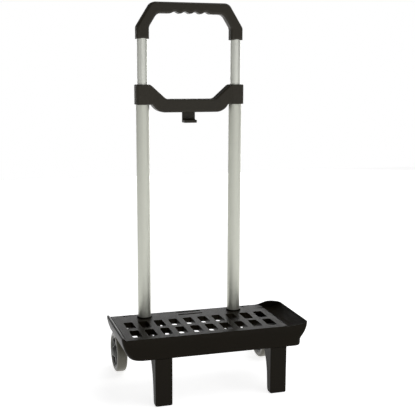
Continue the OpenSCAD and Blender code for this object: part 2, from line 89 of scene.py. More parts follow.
SIDES = ("left", "right")
TRAY_LOW, TRAY_HIGH = box_mm("platform_tray")
TUBE_X = [middle(f"lower_tube_{side}").x for side in SIDES]
TUBE_Y = middle("lower_tube_left").y
CENTRE_X = sum(TUBE_X) / 2
LEG_X = [middle(f"leg_{side}").x for side in SIDES]
LEG_HALF = extent("leg_left").x / 2
WHEEL_AT = [middle(f"tyre_{side}") for side in SIDES]
WHEEL_HALF = extent("tyre_left").x / 2
GRIP_LOW, GRIP_HIGH = box_mm("handle_front_shell", "handle_rear_shell")
BAR_LOW, BAR_HIGH = box_mm("crossbar_front_shell", "crossbar_rear_shell")

# ---- Sizes that several pieces share, in millimetres -----------------------------

RIM_RISE = 5.5  # right-hand rim over the deck
LIP_RISE = 3.0  # left lip over the deck
DECK_PLATE = 3.0  # thickness of the deck
DECK_Z = TRAY_HIGH.z - RIM_RISE
UNDER_DECK_Z = DECK_Z - DECK_PLATE
WALL = 2.5  # moulded walls
TUBE_WALL = 1.2
SOCKET_R = 14.0
SOCKET_RING_R = 12.95  # ring of the socket that stands in the deck
AXLE_BORE_R = 4.02  # in the brackets and caps
TOUCH = 0.02  # gap between pieces that lie against each other
BITE = 0.5  # overlap of shapes that become one piece
WINDOW_BITE = 0.4  # the same for the windows' ribs, which share no plane with the others
PAST = 2.0  # how far a cutter runs past the face that it cuts

# ---- Outlines --------------------------------------------------------------------


def filleted(corners, steps=6):
    """Outline through (a, b, radius) corners, each turned into an arc."""
    points = []
    for i, (a, b, radius) in enumerate(corners):
        corner = Vector((a, b))
        if radius == 0:
            points.append(corner)
            continue
        before = (Vector(corners[i - 1][:2]) - corner).normalized()
        after = (Vector(corners[(i + 1) % len(corners)][:2]) - corner).normalized()
        half = before.angle(after) / 2
        centre = corner + (before + after).normalized() * radius / math.sin(half)
        reach = radius / math.tan(half)
        start = corner + before * reach - centre
        end = corner + after * reach - centre
        sweep = start.angle(end)
        for k in range(steps + 1):
            t = k / steps
            share = math.sin((1 - t) * sweep), math.sin(t * sweep)
            points.append(centre + (start * share[0] + end * share[1]) / math.sin(sweep))
    return [tuple(p) for p in points]


def flowing(points, per_span=4):
    """Smooth line through points, by Catmull-Rom spans."""
    line = [Vector(p) for p in points]
    line = [2 * line[0] - line[1], *line, 2 * line[-1] - line[-2]]
    out = []
    for a, b, c, d in zip(line, line[1:], line[2:], line[3:]):
        for k in range(per_span):
            t = k / per_span
            out.append(0.5 * (2 * b + (c - a) * t + (2 * a - 5 * b + 4 * c - d) * t * t
                              + (3 * b - a - 3 * c + d) * t ** 3))
    return [tuple(p) for p in out + [line[-2]]]


def pulled_in(outline, distance):
    """The outline moved inwards by a distance."""
    at = np.array(outline, float)
    before, after = at - np.roll(at, 1, 0), np.roll(at, -1, 0) - at
    before /= np.linalg.norm(before, axis=1)[:, None]
    after /= np.linalg.norm(after, axis=1)[:, None]
    area = np.sum(at[:, 0] * np.roll(at[:, 1], -1) - np.roll(at[:, 0], -1) * at[:, 1])
    turn = np.sign(area)
    side_a = np.stack([-before[:, 1], before[:, 0]], 1) * turn
    side_b = np.stack([-after[:, 1], after[:, 0]], 1) * turn
    mitre = side_a + side_b
    mitre /= np.linalg.norm(mitre, axis=1)[:, None]
    reach = distance / np.maximum(np.sum(mitre * side_a, 1), 0.5)
    return [tuple(p) for p in at + mitre * reach[:, None]]


def plan_loop(x0, x1, y0, y1, radii, steps=7):
    """Rectangle in plan, with radii for front left, front right, back right, back left."""
    corners = [(x0, y0), (x1, y0), (x1, y1), (x0, y1)]
    return filleted([(*c, r) for c, r in zip(corners, radii)], steps)


# ---- Meshes ----------------------------------------------------------------------


def mesh_piece(name, points, faces):
    """Mesh object from points in millimetres, with outward faces."""
    mesh = bpy.data.meshes.new(name)
    mesh.from_pydata([Vector(p) * MM for p in points], [], faces)
    work = bmesh.new()
    work.from_mesh(mesh)
    bmesh.ops.remove_doubles(work, verts=work.verts, dist=2e-7)
    bmesh.ops.recalc_face_normals(work, faces=work.faces)
    work.to_mesh(mesh)
    work.free()
    piece = bpy.data.objects.new(name, mesh)
    bpy.context.scene.collection.objects.link(piece)
    return piece


def loft(name, rings, closed=False):
    """Skin through rings of equal count; the ends are capped unless it closes on itself."""
    count, last = len(rings[0]), len(rings) - 1
    points = [p for ring in rings for p in ring]
    pairs = [(i, i + 1) for i in range(last)] + ([(last, 0)] if closed else [])
    faces = [(a * count + j, a * count + (j + 1) % count,
              b * count + (j + 1) % count, b * count + j)
             for a, b in pairs for j in range(count)]
    if not closed:
        faces.append(tuple(reversed(range(count))))
        faces.append(tuple(range(last * count, (last + 1) * count)))
    return mesh_piece(name, points, faces)


def column(name, loop, z0, z1):
    """Upright block on a plan loop."""
    return loft(name, [[(x, y, z) for x, y in loop] for z in (z0, z1)])


def block(name, low, high):
    """Box between two corners."""
    loop = [(low[0], low[1]), (high[0], low[1]), (high[0], high[1]), (low[0], high[1])]
    return column(name, loop, low[2], high[2])


def carried(outline, t, along):
    """An outline in (X, Z) placed at Y = t, or one in (Y, Z) placed at X = t."""
    return [(t, a, b) if along == "X" else (a, t, b) for a, b in outline]


def slab(name, outline, start, end, along="Y"):
    """Sharp-edged block: an outline in (X, Z) carried along Y, or in (Y, Z) along X."""
    return loft(name, [carried(outline, t, along) for t in (start, end)])


def pillow(name, outline, start, end, round_r, along="Y", steps=5):
    """Block like slab, with its two faces rounded into its sides."""
    rings = []
    for edge, inward in ((start, 1), (end, -1)):
        part = []
        for k in range(steps + 1):
            turn = math.radians(90 * k / steps)
            pulled = pulled_in(outline, round_r * (1 - math.sin(turn)))
            t = edge + inward * round_r * (1 - math.cos(turn))
            part.append(carried(pulled, t, along))
        rings += part if inward > 0 else part[::-1]
    return loft(name, rings)


def lathe(name, profile, centre, axis="Z", hollow=False, segments=72):
    """Turned piece: (radius, height) points about an axis through the centre."""
    def turned(r, h, angle):
        c, s = r * math.cos(angle), r * math.sin(angle)
        return {"X": (h, c, s), "Y": (s, h, c), "Z": (c, s, h)}[axis]

    angles = [2 * math.pi * k / segments for k in range(segments)]
    rings = [[tuple(Vector(turned(r, h, a)) + Vector(centre)) for a in angles]
             for r, h in profile]
    return loft(name, rings, closed=hollow)


def cylinder(name, radius, start, end, centre, axis="Z", segments=72):
    """Round bar between two heights on an axis through the centre."""
    profile = [(0, start), (radius, start), (radius, end), (0, end)]
    return lathe(name, profile, centre, axis, segments=segments)


def settle(piece):
    """Makes what the modifiers show the piece's own mesh."""
    shown = piece.evaluated_get(bpy.context.evaluated_depsgraph_get())
    mesh, old = bpy.data.meshes.new_from_object(shown), piece.data
    piece.modifiers.clear()
    piece.data = mesh
    bpy.data.meshes.remove(old)
    mesh.name = piece.name


def combine(piece, operation, *tools):
    """Joins tools to a piece, cuts them from it or keeps what they share."""
    for tool in tools:
        step = piece.modifiers.new(tool.name, "BOOLEAN")
        step.operation, step.solver, step.object = operation, "EXACT", tool
    settle(piece)
    for tool in tools:
        bpy.data.meshes.remove(tool.data)
    work = bmesh.new()
    work.from_mesh(piece.data)
    bmesh.ops.remove_doubles(work, verts=work.verts, dist=4e-6)
    bmesh.ops.dissolve_degenerate(work, edges=work.edges, dist=2e-6)
    bmesh.ops.dissolve_limit(work, angle_limit=math.radians(0.6),
                             verts=work.verts, edges=work.edges)
    work.to_mesh(piece.data)
    work.free()
    return piece


def group_of(name, pieces):
    """Several closed shells that don't meet, as one mesh."""
    work = bmesh.new()
    for piece in pieces:
        work.from_mesh(piece.data)
        bpy.data.meshes.remove(piece.data)
    mesh = bpy.data.meshes.new(name)
    work.to_mesh(mesh)
    work.free()
    whole = bpy.data.objects.new(name, mesh)
    bpy.context.scene.collection.objects.link(whole)
    return whole


def soften(piece, radius, angle=34, steps=2):
    """Rounds the sharp edges of a piece and keeps its flat faces flat."""
    if radius:
        edge = piece.modifiers.new("round", "BEVEL")
        edge.width, edge.segments = radius * MM, steps
        edge.limit_method, edge.angle_limit = "ANGLE", math.radians(angle)
        edge.use_clamp_overlap = False
        edge.miter_outer = "MITER_ARC"
    even = piece.modifiers.new("even", "WEIGHTED_NORMAL")
    even.keep_sharp = True
    return piece


def hand_over(piece, body, slot, finish, *nodes):
    """Gives a piece its finish and its body, and hides the CAD nodes it stands for; the slot is
    not used.
    """
    piece.data.materials.clear()
    piece.data.materials.append(bpy.data.materials[finish])
    piece.data.polygons.foreach_set("use_smooth", [True] * len(piece.data.polygons))
    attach(piece, body)
    if nodes:
        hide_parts(*nodes)
    return piece


# ---- Sizes and colours -----------------------------------------------------------


class CartSizes(bpy.types.PropertyGroup):
    """Sizes of the moulded detail, in metres."""

    edge_round: FloatProperty(
        name="Edge round", description="Round on the platform's moulded edges",
        default=0.00055, min=0.0002, max=0.001, unit="LENGTH")
    window_corner: FloatProperty(
        name="Window corner", description="Corner radius of the deck windows",
        default=0.0034, min=0.0005, max=0.005, unit="LENGTH")
    shell_seam: FloatProperty(
        name="Shell seam", description="Gap between the halves of handle and crossbar",
        default=0.00024, min=0.0001, max=0.0006, unit="LENGTH")
    grip_round: FloatProperty(
        name="Grip round", description="Round on the handle's front and rear edges",
        default=0.0042, min=0.001, max=0.006, unit="LENGTH")
    bar_round: FloatProperty(
        name="Crossbar round", description="Round on the crossbar's front and rear edges",
        default=0.003, min=0.001, max=0.005, unit="LENGTH")
    spokes: IntProperty(
        name="Spokes", description="Spokes in each wheel hub", default=6, min=4, max=12)


class CartColours(bpy.types.PropertyGroup):
    """Colours of the finishes."""

    platform: FloatVectorProperty(
        name="Platform", description="Moulded platform, legs and brackets",
        subtype="COLOR", default=(0.0066, 0.0047, 0.0018), min=0, max=1)
    grip: FloatVectorProperty(
        name="Grips", description="Handle, crossbar and hook",
        subtype="COLOR", default=(0.020, 0.0165, 0.0095), min=0, max=1)
    tyre: FloatVectorProperty(
        name="Tyres", description="Smoke-grey tyres",
        subtype="COLOR", default=(0.090, 0.084, 0.060), min=0, max=1)
    hub: FloatVectorProperty(
        name="Hubs", description="Grey wheel hubs and axle caps",
        subtype="COLOR", default=(0.095, 0.095, 0.088), min=0, max=1)
    nylon: FloatVectorProperty(
        name="Nylon", description="Bushes in the hubs",
        subtype="COLOR", default=(0.60, 0.60, 0.56), min=0, max=1)
    upper_tube: FloatVectorProperty(
        name="Upper tubes", description="Anodised inner tubes",
        subtype="COLOR", default=(0.78, 0.79, 0.72), min=0, max=1)
    lower_tube: FloatVectorProperty(
        name="Lower tubes", description="Anodised outer tubes",
        subtype="COLOR", default=(0.62, 0.63, 0.555), min=0, max=1)
    steel: FloatVectorProperty(
        name="Steel", description="Zinc-plated axle, screws and pins",
        subtype="COLOR", default=(0.56, 0.56, 0.56), min=0, max=1)
    floor: FloatVectorProperty(
        name="Floor", description="Studio floor",
        subtype="COLOR", default=(0.93, 0.93, 0.93), min=0, max=1)


# ---- Shared shading effects ------------------------------------------------------


def place(tree, kind, links=None, **settings):
    """Adds a shader node; links gives its inputs values or other nodes' outputs."""
    item = tree.nodes.new(kind)
    for key, value in settings.items():
        setattr(item, key, value)
    for key, value in (links or {}).items():
        if isinstance(value, bpy.types.NodeSocket):
            tree.links.new(value, item.inputs[key])
        else:
            item.inputs[key].default_value = value
    return item


def effect(name, inputs, outputs):
    """Starts a shader node group with named float inputs and outputs."""
    tree = bpy.data.node_groups.new(name, "ShaderNodeTree")
    for title, value in inputs.items():
        made = tree.interface.new_socket(title, in_out="INPUT", socket_type="NodeSocketFloat")
        made.default_value = value
    for title in outputs:
        tree.interface.new_socket(title, in_out="OUTPUT", socket_type="NodeSocketFloat")
    return tree, place(tree, "NodeGroupInput"), place(tree, "NodeGroupOutput")


def scaled_range(tree, value, low, high, to_low=0.0, to_high=1.0):
    """A value's range from low to high, stretched to another range."""
    links = {"Value": value, "From Min": low, "From Max": high,
             "To Min": to_low, "To Max": to_high}
    return place(tree, "ShaderNodeMapRange", links).outputs["Result"]


def times(tree, a, b):
    """Product of two values or outputs."""
    return place(tree, "ShaderNodeMath", {0: a, 1: b}, operation="MULTIPLY").outputs[0]


def plus(tree, a, b):
    """Sum of two values or outputs."""
    return place(tree, "ShaderNodeMath", {0: a, 1: b}, operation="ADD").outputs[0]


def moulded_grain():
    """Fine spark-eroded grain of a mould, with slow flow marks in its tone."""
    tree, given, out = effect("moulded_grain", {"Grains per metre": 1100.0}, ["Height", "Tone"])
    where = place(tree, "ShaderNodeTexCoord").outputs["Object"]
    size = given.outputs["Grains per metre"]
    cells = place(tree, "ShaderNodeTexVoronoi", {"Vector": where, "Scale": size})
    fine = place(tree, "ShaderNodeTexNoise",
                 {"Vector": where, "Scale": times(tree, size, 0.7), "Detail": 2.0})
    flow = place(tree, "ShaderNodeTexNoise", {"Vector": where, "Scale": 14.0, "Detail": 3.0})
    height = plus(tree, times(tree, cells.outputs["Distance"], 0.6), fine.outputs["Fac"])
    speck = scaled_range(tree, fine.outputs["Fac"], 0.35, 0.65)
    tone = plus(tree, times(tree, flow.outputs["Fac"], 0.5), times(tree, speck, 0.5))
    tree.links.new(height, out.inputs["Height"])
    tree.links.new(tone, out.inputs["Tone"])
    return tree


def rubbed_edges():
    """Mask of the edges that hands, bags and floors rub."""
    tree, given, out = effect("rubbed_edges", {"Amount": 0.5}, ["Mask"])
    bend = place(tree, "ShaderNodeNewGeometry").outputs["Pointiness"]
    where = place(tree, "ShaderNodeTexCoord").outputs["Object"]
    broken = place(tree, "ShaderNodeTexNoise", {"Vector": where, "Scale": 220.0, "Detail": 4.0})
    edge = scaled_range(tree, bend, 0.53, 0.62)
    patchy = scaled_range(tree, broken.outputs["Fac"], 0.4, 0.65, 0.25, 1.0)
    mask = times(tree, times(tree, edge, patchy), given.outputs["Amount"])
    tree.links.new(mask, out.inputs["Mask"])
    return tree


def settled_dust():
    """Mask of the pale dust that lies on faces that look up."""
    tree, given, out = effect("settled_dust", {"Amount": 0.3}, ["Mask"])
    coordinates = place(tree, "ShaderNodeTexCoord")
    up = place(tree, "ShaderNodeSeparateXYZ", {0: coordinates.outputs["Normal"]})
    specks = place(tree, "ShaderNodeTexNoise",
                   {"Vector": coordinates.outputs["Object"], "Scale": 420.0, "Detail": 5.0,
                    "Roughness": 0.7})
    drift = place(tree, "ShaderNodeTexNoise",
                  {"Vector": coordinates.outputs["Object"], "Scale": 22.0, "Detail": 2.0})
    lying = scaled_range(tree, up.outputs["Z"], 0.6, 1.0)
    spread = times(tree, scaled_range(tree, specks.outputs["Fac"], 0.42, 0.7),
                   scaled_range(tree, drift.outputs["Fac"], 0.3, 0.7, 0.4, 1.0))
    mask = times(tree, times(tree, lying, spread), given.outputs["Amount"])
    tree.links.new(mask, out.inputs["Mask"])
    return tree


def drawn_lines():
    """Fine lines that run the length of a drawn tube or rod along one axis."""
    tree, given, out = effect("drawn_lines", {"Across": 900.0, "X": 1.0, "Z": 0.02},
                              ["Height", "Tone"])
    where = place(tree, "ShaderNodeTexCoord").outputs["Object"]
    stretch = place(tree, "ShaderNodeCombineXYZ",
                    {"X": given.outputs["X"], "Y": 1.0, "Z": given.outputs["Z"]})
    lengthened = place(tree, "ShaderNodeVectorMath", {0: where, 1: stretch.outputs[0]},
                       operation="MULTIPLY").outputs[0]
    fine = place(tree, "ShaderNodeTexNoise",
                 {"Vector": lengthened, "Scale": given.outputs["Across"], "Detail": 3.0})
    broad = place(tree, "ShaderNodeTexNoise",
                  {"Vector": lengthened, "Scale": times(tree, given.outputs["Across"], 0.2),
                   "Detail": 2.0})
    tree.links.new(fine.outputs["Fac"], out.inputs["Height"])
    tone = plus(tree, times(tree, fine.outputs["Fac"], 0.4),
                times(tree, broad.outputs["Fac"], 0.6))
    tree.links.new(tone, out.inputs["Tone"])
    return tree


def grouped(tree, name, **values):
    """Outputs of a shared effect, placed with its own values."""
    made = place(tree, "ShaderNodeGroup", node_tree=bpy.data.node_groups[name])
    for title, value in values.items():
        made.inputs[title.replace("_", " ")].default_value = value
    return made.outputs


def blended(tree, factor, a, b):
    """Mix of two colours or colour outputs."""
    mixed = place(tree, "ShaderNodeMix", {0: factor}, data_type="RGBA")
    for number, value in ((6, a), (7, b)):
        if isinstance(value, bpy.types.NodeSocket):
            tree.links.new(value, mixed.inputs[number])
        else:
            mixed.inputs[number].default_value = value
    return mixed.outputs[2]


def shade(colour, factor):
    """A colour made darker or lighter, with full alpha."""
    return (*[min(1.0, c * factor) for c in colour], 1.0)


def new_finish(name, colour, **plain):
    """Material with one Principled shader, whose plain sockets get plain values."""
    material = bpy.data.materials.new(name)
    material.use_nodes = True
    material.diffuse_color = (*colour, 1.0)
    tree = material.node_tree
    shader = tree.nodes["Principled BSDF"]
    for title, value in plain.items():
        shader.inputs[title.replace("_", " ")].default_value = value
    return tree, shader


def raised(tree, shader, height, strength, distance):
    """Bump from a height; the distance is in metres."""
    bump = place(tree, "ShaderNodeBump",
                 {"Strength": strength, "Distance": distance, "Height": height})
    tree.links.new(bump.outputs["Normal"], shader.inputs["Normal"])


def moulded_finish(name, colour, rough, grains, depth, wear, dust, **plain):
    """Black or grey moulded plastic: grain, flow marks, rubbed edges and dust."""
    tree, shader = new_finish(name, colour, **plain)
    grain = grouped(tree, "moulded_grain", Grains_per_metre=grains)
    base = blended(tree, grain["Tone"], shade(colour, 0.72), shade(colour, 1.3))
    rubbed = grouped(tree, "rubbed_edges", Amount=wear)["Mask"]
    worn = blended(tree, rubbed, base, shade([c + 0.02 for c in colour], 2.2))
    dusty = grouped(tree, "settled_dust", Amount=dust)["Mask"]
    tree.links.new(blended(tree, dusty, worn, (0.30, 0.29, 0.26, 1.0)),
                   shader.inputs["Base Color"])
    finish = scaled_range(tree, grain["Tone"], 0.2, 0.8, rough - 0.06, rough + 0.06)
    finish = plus(tree, finish, times(tree, dusty, 0.25))
    tree.links.new(plus(tree, finish, times(tree, rubbed, -0.1)), shader.inputs["Roughness"])
    raised(tree, shader, grain["Height"], depth, 0.00025)


def drawn_finish(name, colour, rough, across, along_x, along_z, wear, **plain):
    """Anodised or plated metal with fine lines along its length."""
    tree, shader = new_finish(name, colour, **plain)
    lines = grouped(tree, "drawn_lines", Across=across, X=along_x, Z=along_z)
    base = blended(tree, lines["Tone"], shade(colour, 0.92), shade(colour, 1.07))
    rubbed = grouped(tree, "rubbed_edges", Amount=wear)["Mask"]
    tree.links.new(blended(tree, rubbed, base, shade(colour, 1.25)),
                   shader.inputs["Base Color"])
    finish = scaled_range(tree, lines["Tone"], 0.3, 0.7, rough - 0.05, rough + 0.05)
    tree.links.new(finish, shader.inputs["Roughness"])
    raised(tree, shader, lines["Height"], 0.12, 0.0001)


class CART_OT_finishes(bpy.types.Operator):
    """Make the shared shading effects and every finish"""

    bl_idname = "cart.finishes"
    bl_label = "Finishes"

    def execute(self, context):
        colours = context.scene.cart_colours
        for build in (moulded_grain, rubbed_edges, settled_dust, drawn_lines):
            build()
        # Roughness, grains per metre, depth of the grain, rubbed edges, dust
        moulded_finish("textured_black", colours.platform, 0.36, 1000.0, 0.35, 0.35, 0.05,
                       Specular_IOR_Level=0.07)
        moulded_finish("smooth_black", colours.platform, 0.42, 2200.0, 0.12, 0.35, 0.03,
                       Specular_IOR_Level=0.09)
        moulded_finish("satin_grip", colours.grip, 0.44, 1800.0, 0.16, 0.35, 0.03,
                       Specular_IOR_Level=0.30)
        moulded_finish("smoke_tyre", colours.tyre, 0.36, 900.0, 0.10, 0.30, 0.10,
                       Specular_IOR_Level=0.5, Coat_Weight=0.15, Coat_Roughness=0.25)
        moulded_finish("grey_hub", colours.hub, 0.42, 1500.0, 0.12, 0.30, 0.06)
        moulded_finish("natural_nylon", colours.nylon, 0.4, 1800.0, 0.08, 0.1, 0.02,
                       Subsurface_Weight=0.1, Subsurface_Scale=0.002)
        # Roughness, lines per metre, their stretch along X and Z, rubbed edges
        drawn_finish("anodised_upper", colours.upper_tube, 0.36, 900.0, 1.0, 0.02, 0.2,
                     Metallic=0.8)
        drawn_finish("anodised_lower", colours.lower_tube, 0.42, 800.0, 1.0, 0.02, 0.2,
                     Metallic=0.7)
        drawn_finish("zinc_plate", colours.steel, 0.30, 1400.0, 1.0, 1.0, 0.3,
                     Metallic=1.0)
        drawn_finish("bright_rod", colours.steel, 0.25, 1200.0, 0.03, 1.0, 0.3,
                     Metallic=1.0)
        return {"FINISHED"}


# ---- Platform --------------------------------------------------------------------

# Up from the foot: (height over the wall's foot, how far the left and right end stand in)
END_LINES = [
    (0, 23, 13.6), (0.9, 18.3, 12.2), (3, 14.2, 11.5), (5.5, 11.8, 11.3), (8, 10.1, 11.2),
    (11, 8.2, 10.9), (13.5, 6.8, 9.8), (16.5, 5.3, 7.9), (20, 4.0, 5.7), (24, 2.7, 3.6),
    (29, 1.3, 1.7), (34, 0.4, 0.5), (38, 0.05, 0.1), (41.5, 0, 0)]
BASIN_R = 21.2
BASIN_AXIS_IN = 21.3  # axis of the dished end, in from the right-hand end
BASIN_DEPTH = 7.0
BASIN_AXIS = (TRAY_HIGH.x - BASIN_AXIS_IN, 0, DECK_Z + BASIN_R - BASIN_DEPTH)
DECK_RADII = (6, 5, 20, 3.5)  # front left, front right, back right, back left
WINDOW_HALF_W = 7.5
WINDOW_HALF_L = 17.0
WINDOW_PITCH = 25.8
WINDOW_COLUMNS = 10
WINDOW_ROWS = (-32.5, -78.0)
WINDOW_RIB = 1.8  # wall that hangs round each window
WINDOW_RIB_FOOT_Z = DECK_Z - 9.5
LEG_RIB_FOOT_Z = DECK_Z - 26
LEG_RIB_BACKS = (TUBE_Y - SOCKET_R, 5.0)
SOCKET_RIBS = ((0, 28), (-22, 29))  # ends in X from each tube's axis
AIR_Z = DECK_Z + 20  # top of what is cut away over the deck
OVER_Z = DECK_Z + 3  # top of the cutters for holes
SLOT_ROWS = (5.0, 19.0)
SLOT_HALF_W = 22
NOTCH_OUT = 109  # notches in the back edge, from the middle
OPEN_BACK_X = 137.5  # ends of the opening in the back wall, for the axle's brackets
RISE_IN = 58  # where the cuts for the dished end start, in from the right-hand end


def end_loops(pull):
    """Plan loops of the platform up its end lines, pulled in by a wall."""
    left_line = flowing([line[:2] for line in END_LINES], 2)
    right_line = flowing([line[::2] for line in END_LINES], 2)
    loops = []
    for (height, left), (_, right) in zip(left_line, right_line):
        chamfer = max(0.0, 1.0 - height) if pull == 0 else 0.0
        radii = [max(0.8, r + 0.3 * inset - pull)
                 for r, inset in zip(DECK_RADII, (left, right, right, left))]
        loop = plan_loop(TRAY_LOW.x + left + pull, TRAY_HIGH.x - right - pull,
                         TRAY_LOW.y + chamfer + pull, TRAY_HIGH.y - chamfer - pull,
                         radii)
        loops.append([(x, y, TRAY_LOW.z + height) for x, y in loop])
    return loops


def window_loops(grow, corner):
    """Plan loops of the deck's windows, made larger all round."""
    half_w, half_l = WINDOW_HALF_W + grow, WINDOW_HALF_L + grow
    first_x = CENTRE_X - WINDOW_PITCH * (WINDOW_COLUMNS - 1) / 2
    columns = [first_x + i * WINDOW_PITCH for i in range(WINDOW_COLUMNS)]
    return [plan_loop(x - half_w, x + half_w, y - half_l, y + half_l, [corner] * 4, 4)
            for x in columns for y in WINDOW_ROWS]


def platform_hollow():
    """Room under the deck, which goes round the dished end."""
    rings = [r for r in end_loops(WALL) if r[0][2] < UNDER_DECK_Z]
    first = [(x, y, TRAY_LOW.z - PAST) for x, y, _ in rings[0]]
    last = [(x, y, UNDER_DECK_Z) for x, y, _ in rings[-1]]
    hollow = loft("hollow", [first, *rings, last])
    bowl_shell = cylinder("bowl_shell", BASIN_R + WALL, TRAY_LOW.y, TRAY_HIGH.y,
                          BASIN_AXIS, "Y", 120)
    return combine(hollow, "DIFFERENCE", bowl_shell)


def platform_ribs():
    """Ribs over each leg's sides and across each tube's socket."""
    ribs = []
    for leg_x, back_y in zip(LEG_X, LEG_RIB_BACKS):
        for edge in (-1, 1):
            x = leg_x + edge * (LEG_HALF - WALL / 2)
            ribs.append(block("rib", (x - WALL / 2, TRAY_LOW.y + 1.5, LEG_RIB_FOOT_Z),
                              (x + WALL / 2, back_y, UNDER_DECK_Z + BITE)))
    for x, (start, end) in zip(TUBE_X, SOCKET_RIBS):
        ribs.append(block("rib", (x + start, TUBE_Y - WALL / 2, TRAY_LOW.z + 2),
                          (x + end, TUBE_Y + WALL / 2, UNDER_DECK_Z + BITE)))
    return group_of("ribs", ribs)


def platform_shell():
    """Outer skin less the hollow under the deck, with its ribs."""
    shell = loft("moulded_platform", end_loops(0))
    combine(shell, "DIFFERENCE", platform_hollow())
    window_ribs = group_of("window_ribs", [
        column("window_rib", loop, WINDOW_RIB_FOOT_Z, UNDER_DECK_Z + WINDOW_BITE)
        for loop in window_loops(WINDOW_RIB, 3.4)])
    return combine(shell, "UNION", window_ribs, platform_ribs())


def top_cutter():
    """Air over the deck: left lip, level deck and the hump behind the basin."""
    left, right, z = TRAY_LOW.x, TRAY_HIGH.x, DECK_Z
    lip = flowing([(left - 1.5, z + 1.6), (left, z + 2.3), (left + 1.2, z + 2.85),
                   (left + 2.6, z + LIP_RISE), (left + 4.2, z + 2.3),
                   (left + 5.6, z + 0.9), (left + 6.6, z + 0.12), (left + 7.6, z)], 3)
    hump = flowing([(right - 49, z), (right - 43, z + 0.2), (right - 37, z + 1.3),
                    (right - 30, z + 3.4), (right - 24, z + 4.9), (right - 18, z + RIM_RISE),
                    (right - 5, z + RIM_RISE), (right - 1.3, z + RIM_RISE - 0.05),
                    (right - 0.2, z + RIM_RISE - 0.7), (right + 1, z + RIM_RISE - 2.2)], 3)
    top = [(right + 1, AIR_Z), (left - 1.5, AIR_Z)]
    return slab("top_cutter", lip + hump + top, TRAY_LOW.y - PAST, TRAY_HIGH.y + PAST)


def front_cutter():
    """Air over the basin's front wall, which is level with the deck up to its corner."""
    right, z = TRAY_HIGH.x, DECK_Z
    edge = flowing([(right - RISE_IN, z), (right - 33, z), (right - 22, z + 0.25),
                    (right - 13, z + 0.9), (right - 7, z + 2.1), (right - 3.6, z + 3.7),
                    (right - 2.2, z + RIM_RISE + 0.2)], 3)
    top = [(right - 2.2, AIR_Z), (right - RISE_IN, AIR_Z)]
    return slab("front_cutter", edge + top, TRAY_LOW.y - PAST, TUBE_Y - 5)


def basin_cutter():
    """Dished right-hand end, kept inside the walls."""
    bowl = cylinder("bowl", BASIN_R, TRAY_LOW.y, TRAY_HIGH.y, BASIN_AXIS, "Y", 120)
    inside = plan_loop(CENTRE_X, TRAY_HIGH.x - WALL, TRAY_LOW.y + WALL,
                       TRAY_HIGH.y - WALL, (5.5, 5.5, 17.5, 5.5))
    return combine(bowl, "INTERSECT", column("inside", inside, DECK_Z - 12, DECK_Z + 25))


def hole_cutters(window_corner):
    """Windows, slots, back notches, tube holes and the opening in the back wall."""
    windows = group_of("windows", [
        column("window", loop, DECK_Z - 11, OVER_Z)
        for loop in window_loops(0, window_corner)])
    slots = group_of("slots", [
        column("slot", plan_loop(CENTRE_X - SLOT_HALF_W, CENTRE_X + SLOT_HALF_W,
                                 y - 2, y + 2, [1.95] * 4), DECK_Z - 10, OVER_Z)
        for y in SLOT_ROWS])
    notches = group_of("notches", [
        column("notch", plan_loop(x - 7.5, x + 7.5, TRAY_HIGH.y - 6, TRAY_HIGH.y - 1.3,
                                  [1.2] * 4), DECK_Z - 9, OVER_Z)
        for x in (CENTRE_X - NOTCH_OUT, CENTRE_X + NOTCH_OUT)])
    wide, narrow = SOCKET_R + 0.03, SOCKET_RING_R + 0.05
    sockets = group_of("sockets", [
        lathe("socket", [(0, DECK_Z - 40), (wide, DECK_Z - 40), (wide, UNDER_DECK_Z),
                         (narrow, UNDER_DECK_Z), (narrow, OVER_Z), (0, OVER_Z)],
              (x, TUBE_Y, 0), segments=96) for x in TUBE_X])
    open_back = block("open_back",
                      (-OPEN_BACK_X, TRAY_HIGH.y - WALL - 1, TRAY_LOW.z - PAST),
                      (OPEN_BACK_X, TRAY_HIGH.y + PAST, DECK_Z - 14))
    return windows, slots, notches, sockets, open_back


class CART_OT_platform(bpy.types.Operator):
    """Build the open moulded platform"""

    bl_idname = "cart.platform"
    bl_label = "Platform"

    def execute(self, context):
        sizes = context.scene.cart_sizes
        platform = platform_shell()
        hump_front = block("hump_front", (TRAY_HIGH.x - RISE_IN, TUBE_Y - 6, DECK_Z),
                           (BASIN_AXIS[0], TRAY_HIGH.y - WALL, AIR_Z))
        combine(platform, "DIFFERENCE", top_cutter(), front_cutter(), hump_front,
                basin_cutter(), *hole_cutters(sizes.window_corner / MM))
        soften(platform, sizes.edge_round / MM)
        settle(platform)
        groove = block("groove", (TRAY_LOW.x + 6.2, TRAY_LOW.y + 8, DECK_Z - 0.8),
                       (TRAY_LOW.x + 7.1, TRAY_HIGH.y - 4, DECK_Z + 6))
        combine(platform, "DIFFERENCE", groove)
        soften(platform, 0)
        hand_over(platform, "cart", "platform_plastic", "textured_black", "platform_tray")
        return {"FINISHED"}


# ---- Legs and sockets ------------------------------------------------------------

SOCKET_BORE_R = 11.04
# Up a leg from the floor: (height, depth from the leg's front face)
LEG_LINE = [
    (0.0, 11.0), (1.2, 14.2), (3.2, 16.6), (7.0, 18.2), (18, 19.0), (34, 20.6), (46, 23.4),
    (56, 26.8), (64, 30.8)]
LEG_DRAFT = 0.2  # how far each side stands in at the floor
LEG_FOOT_ROUND = 1.5


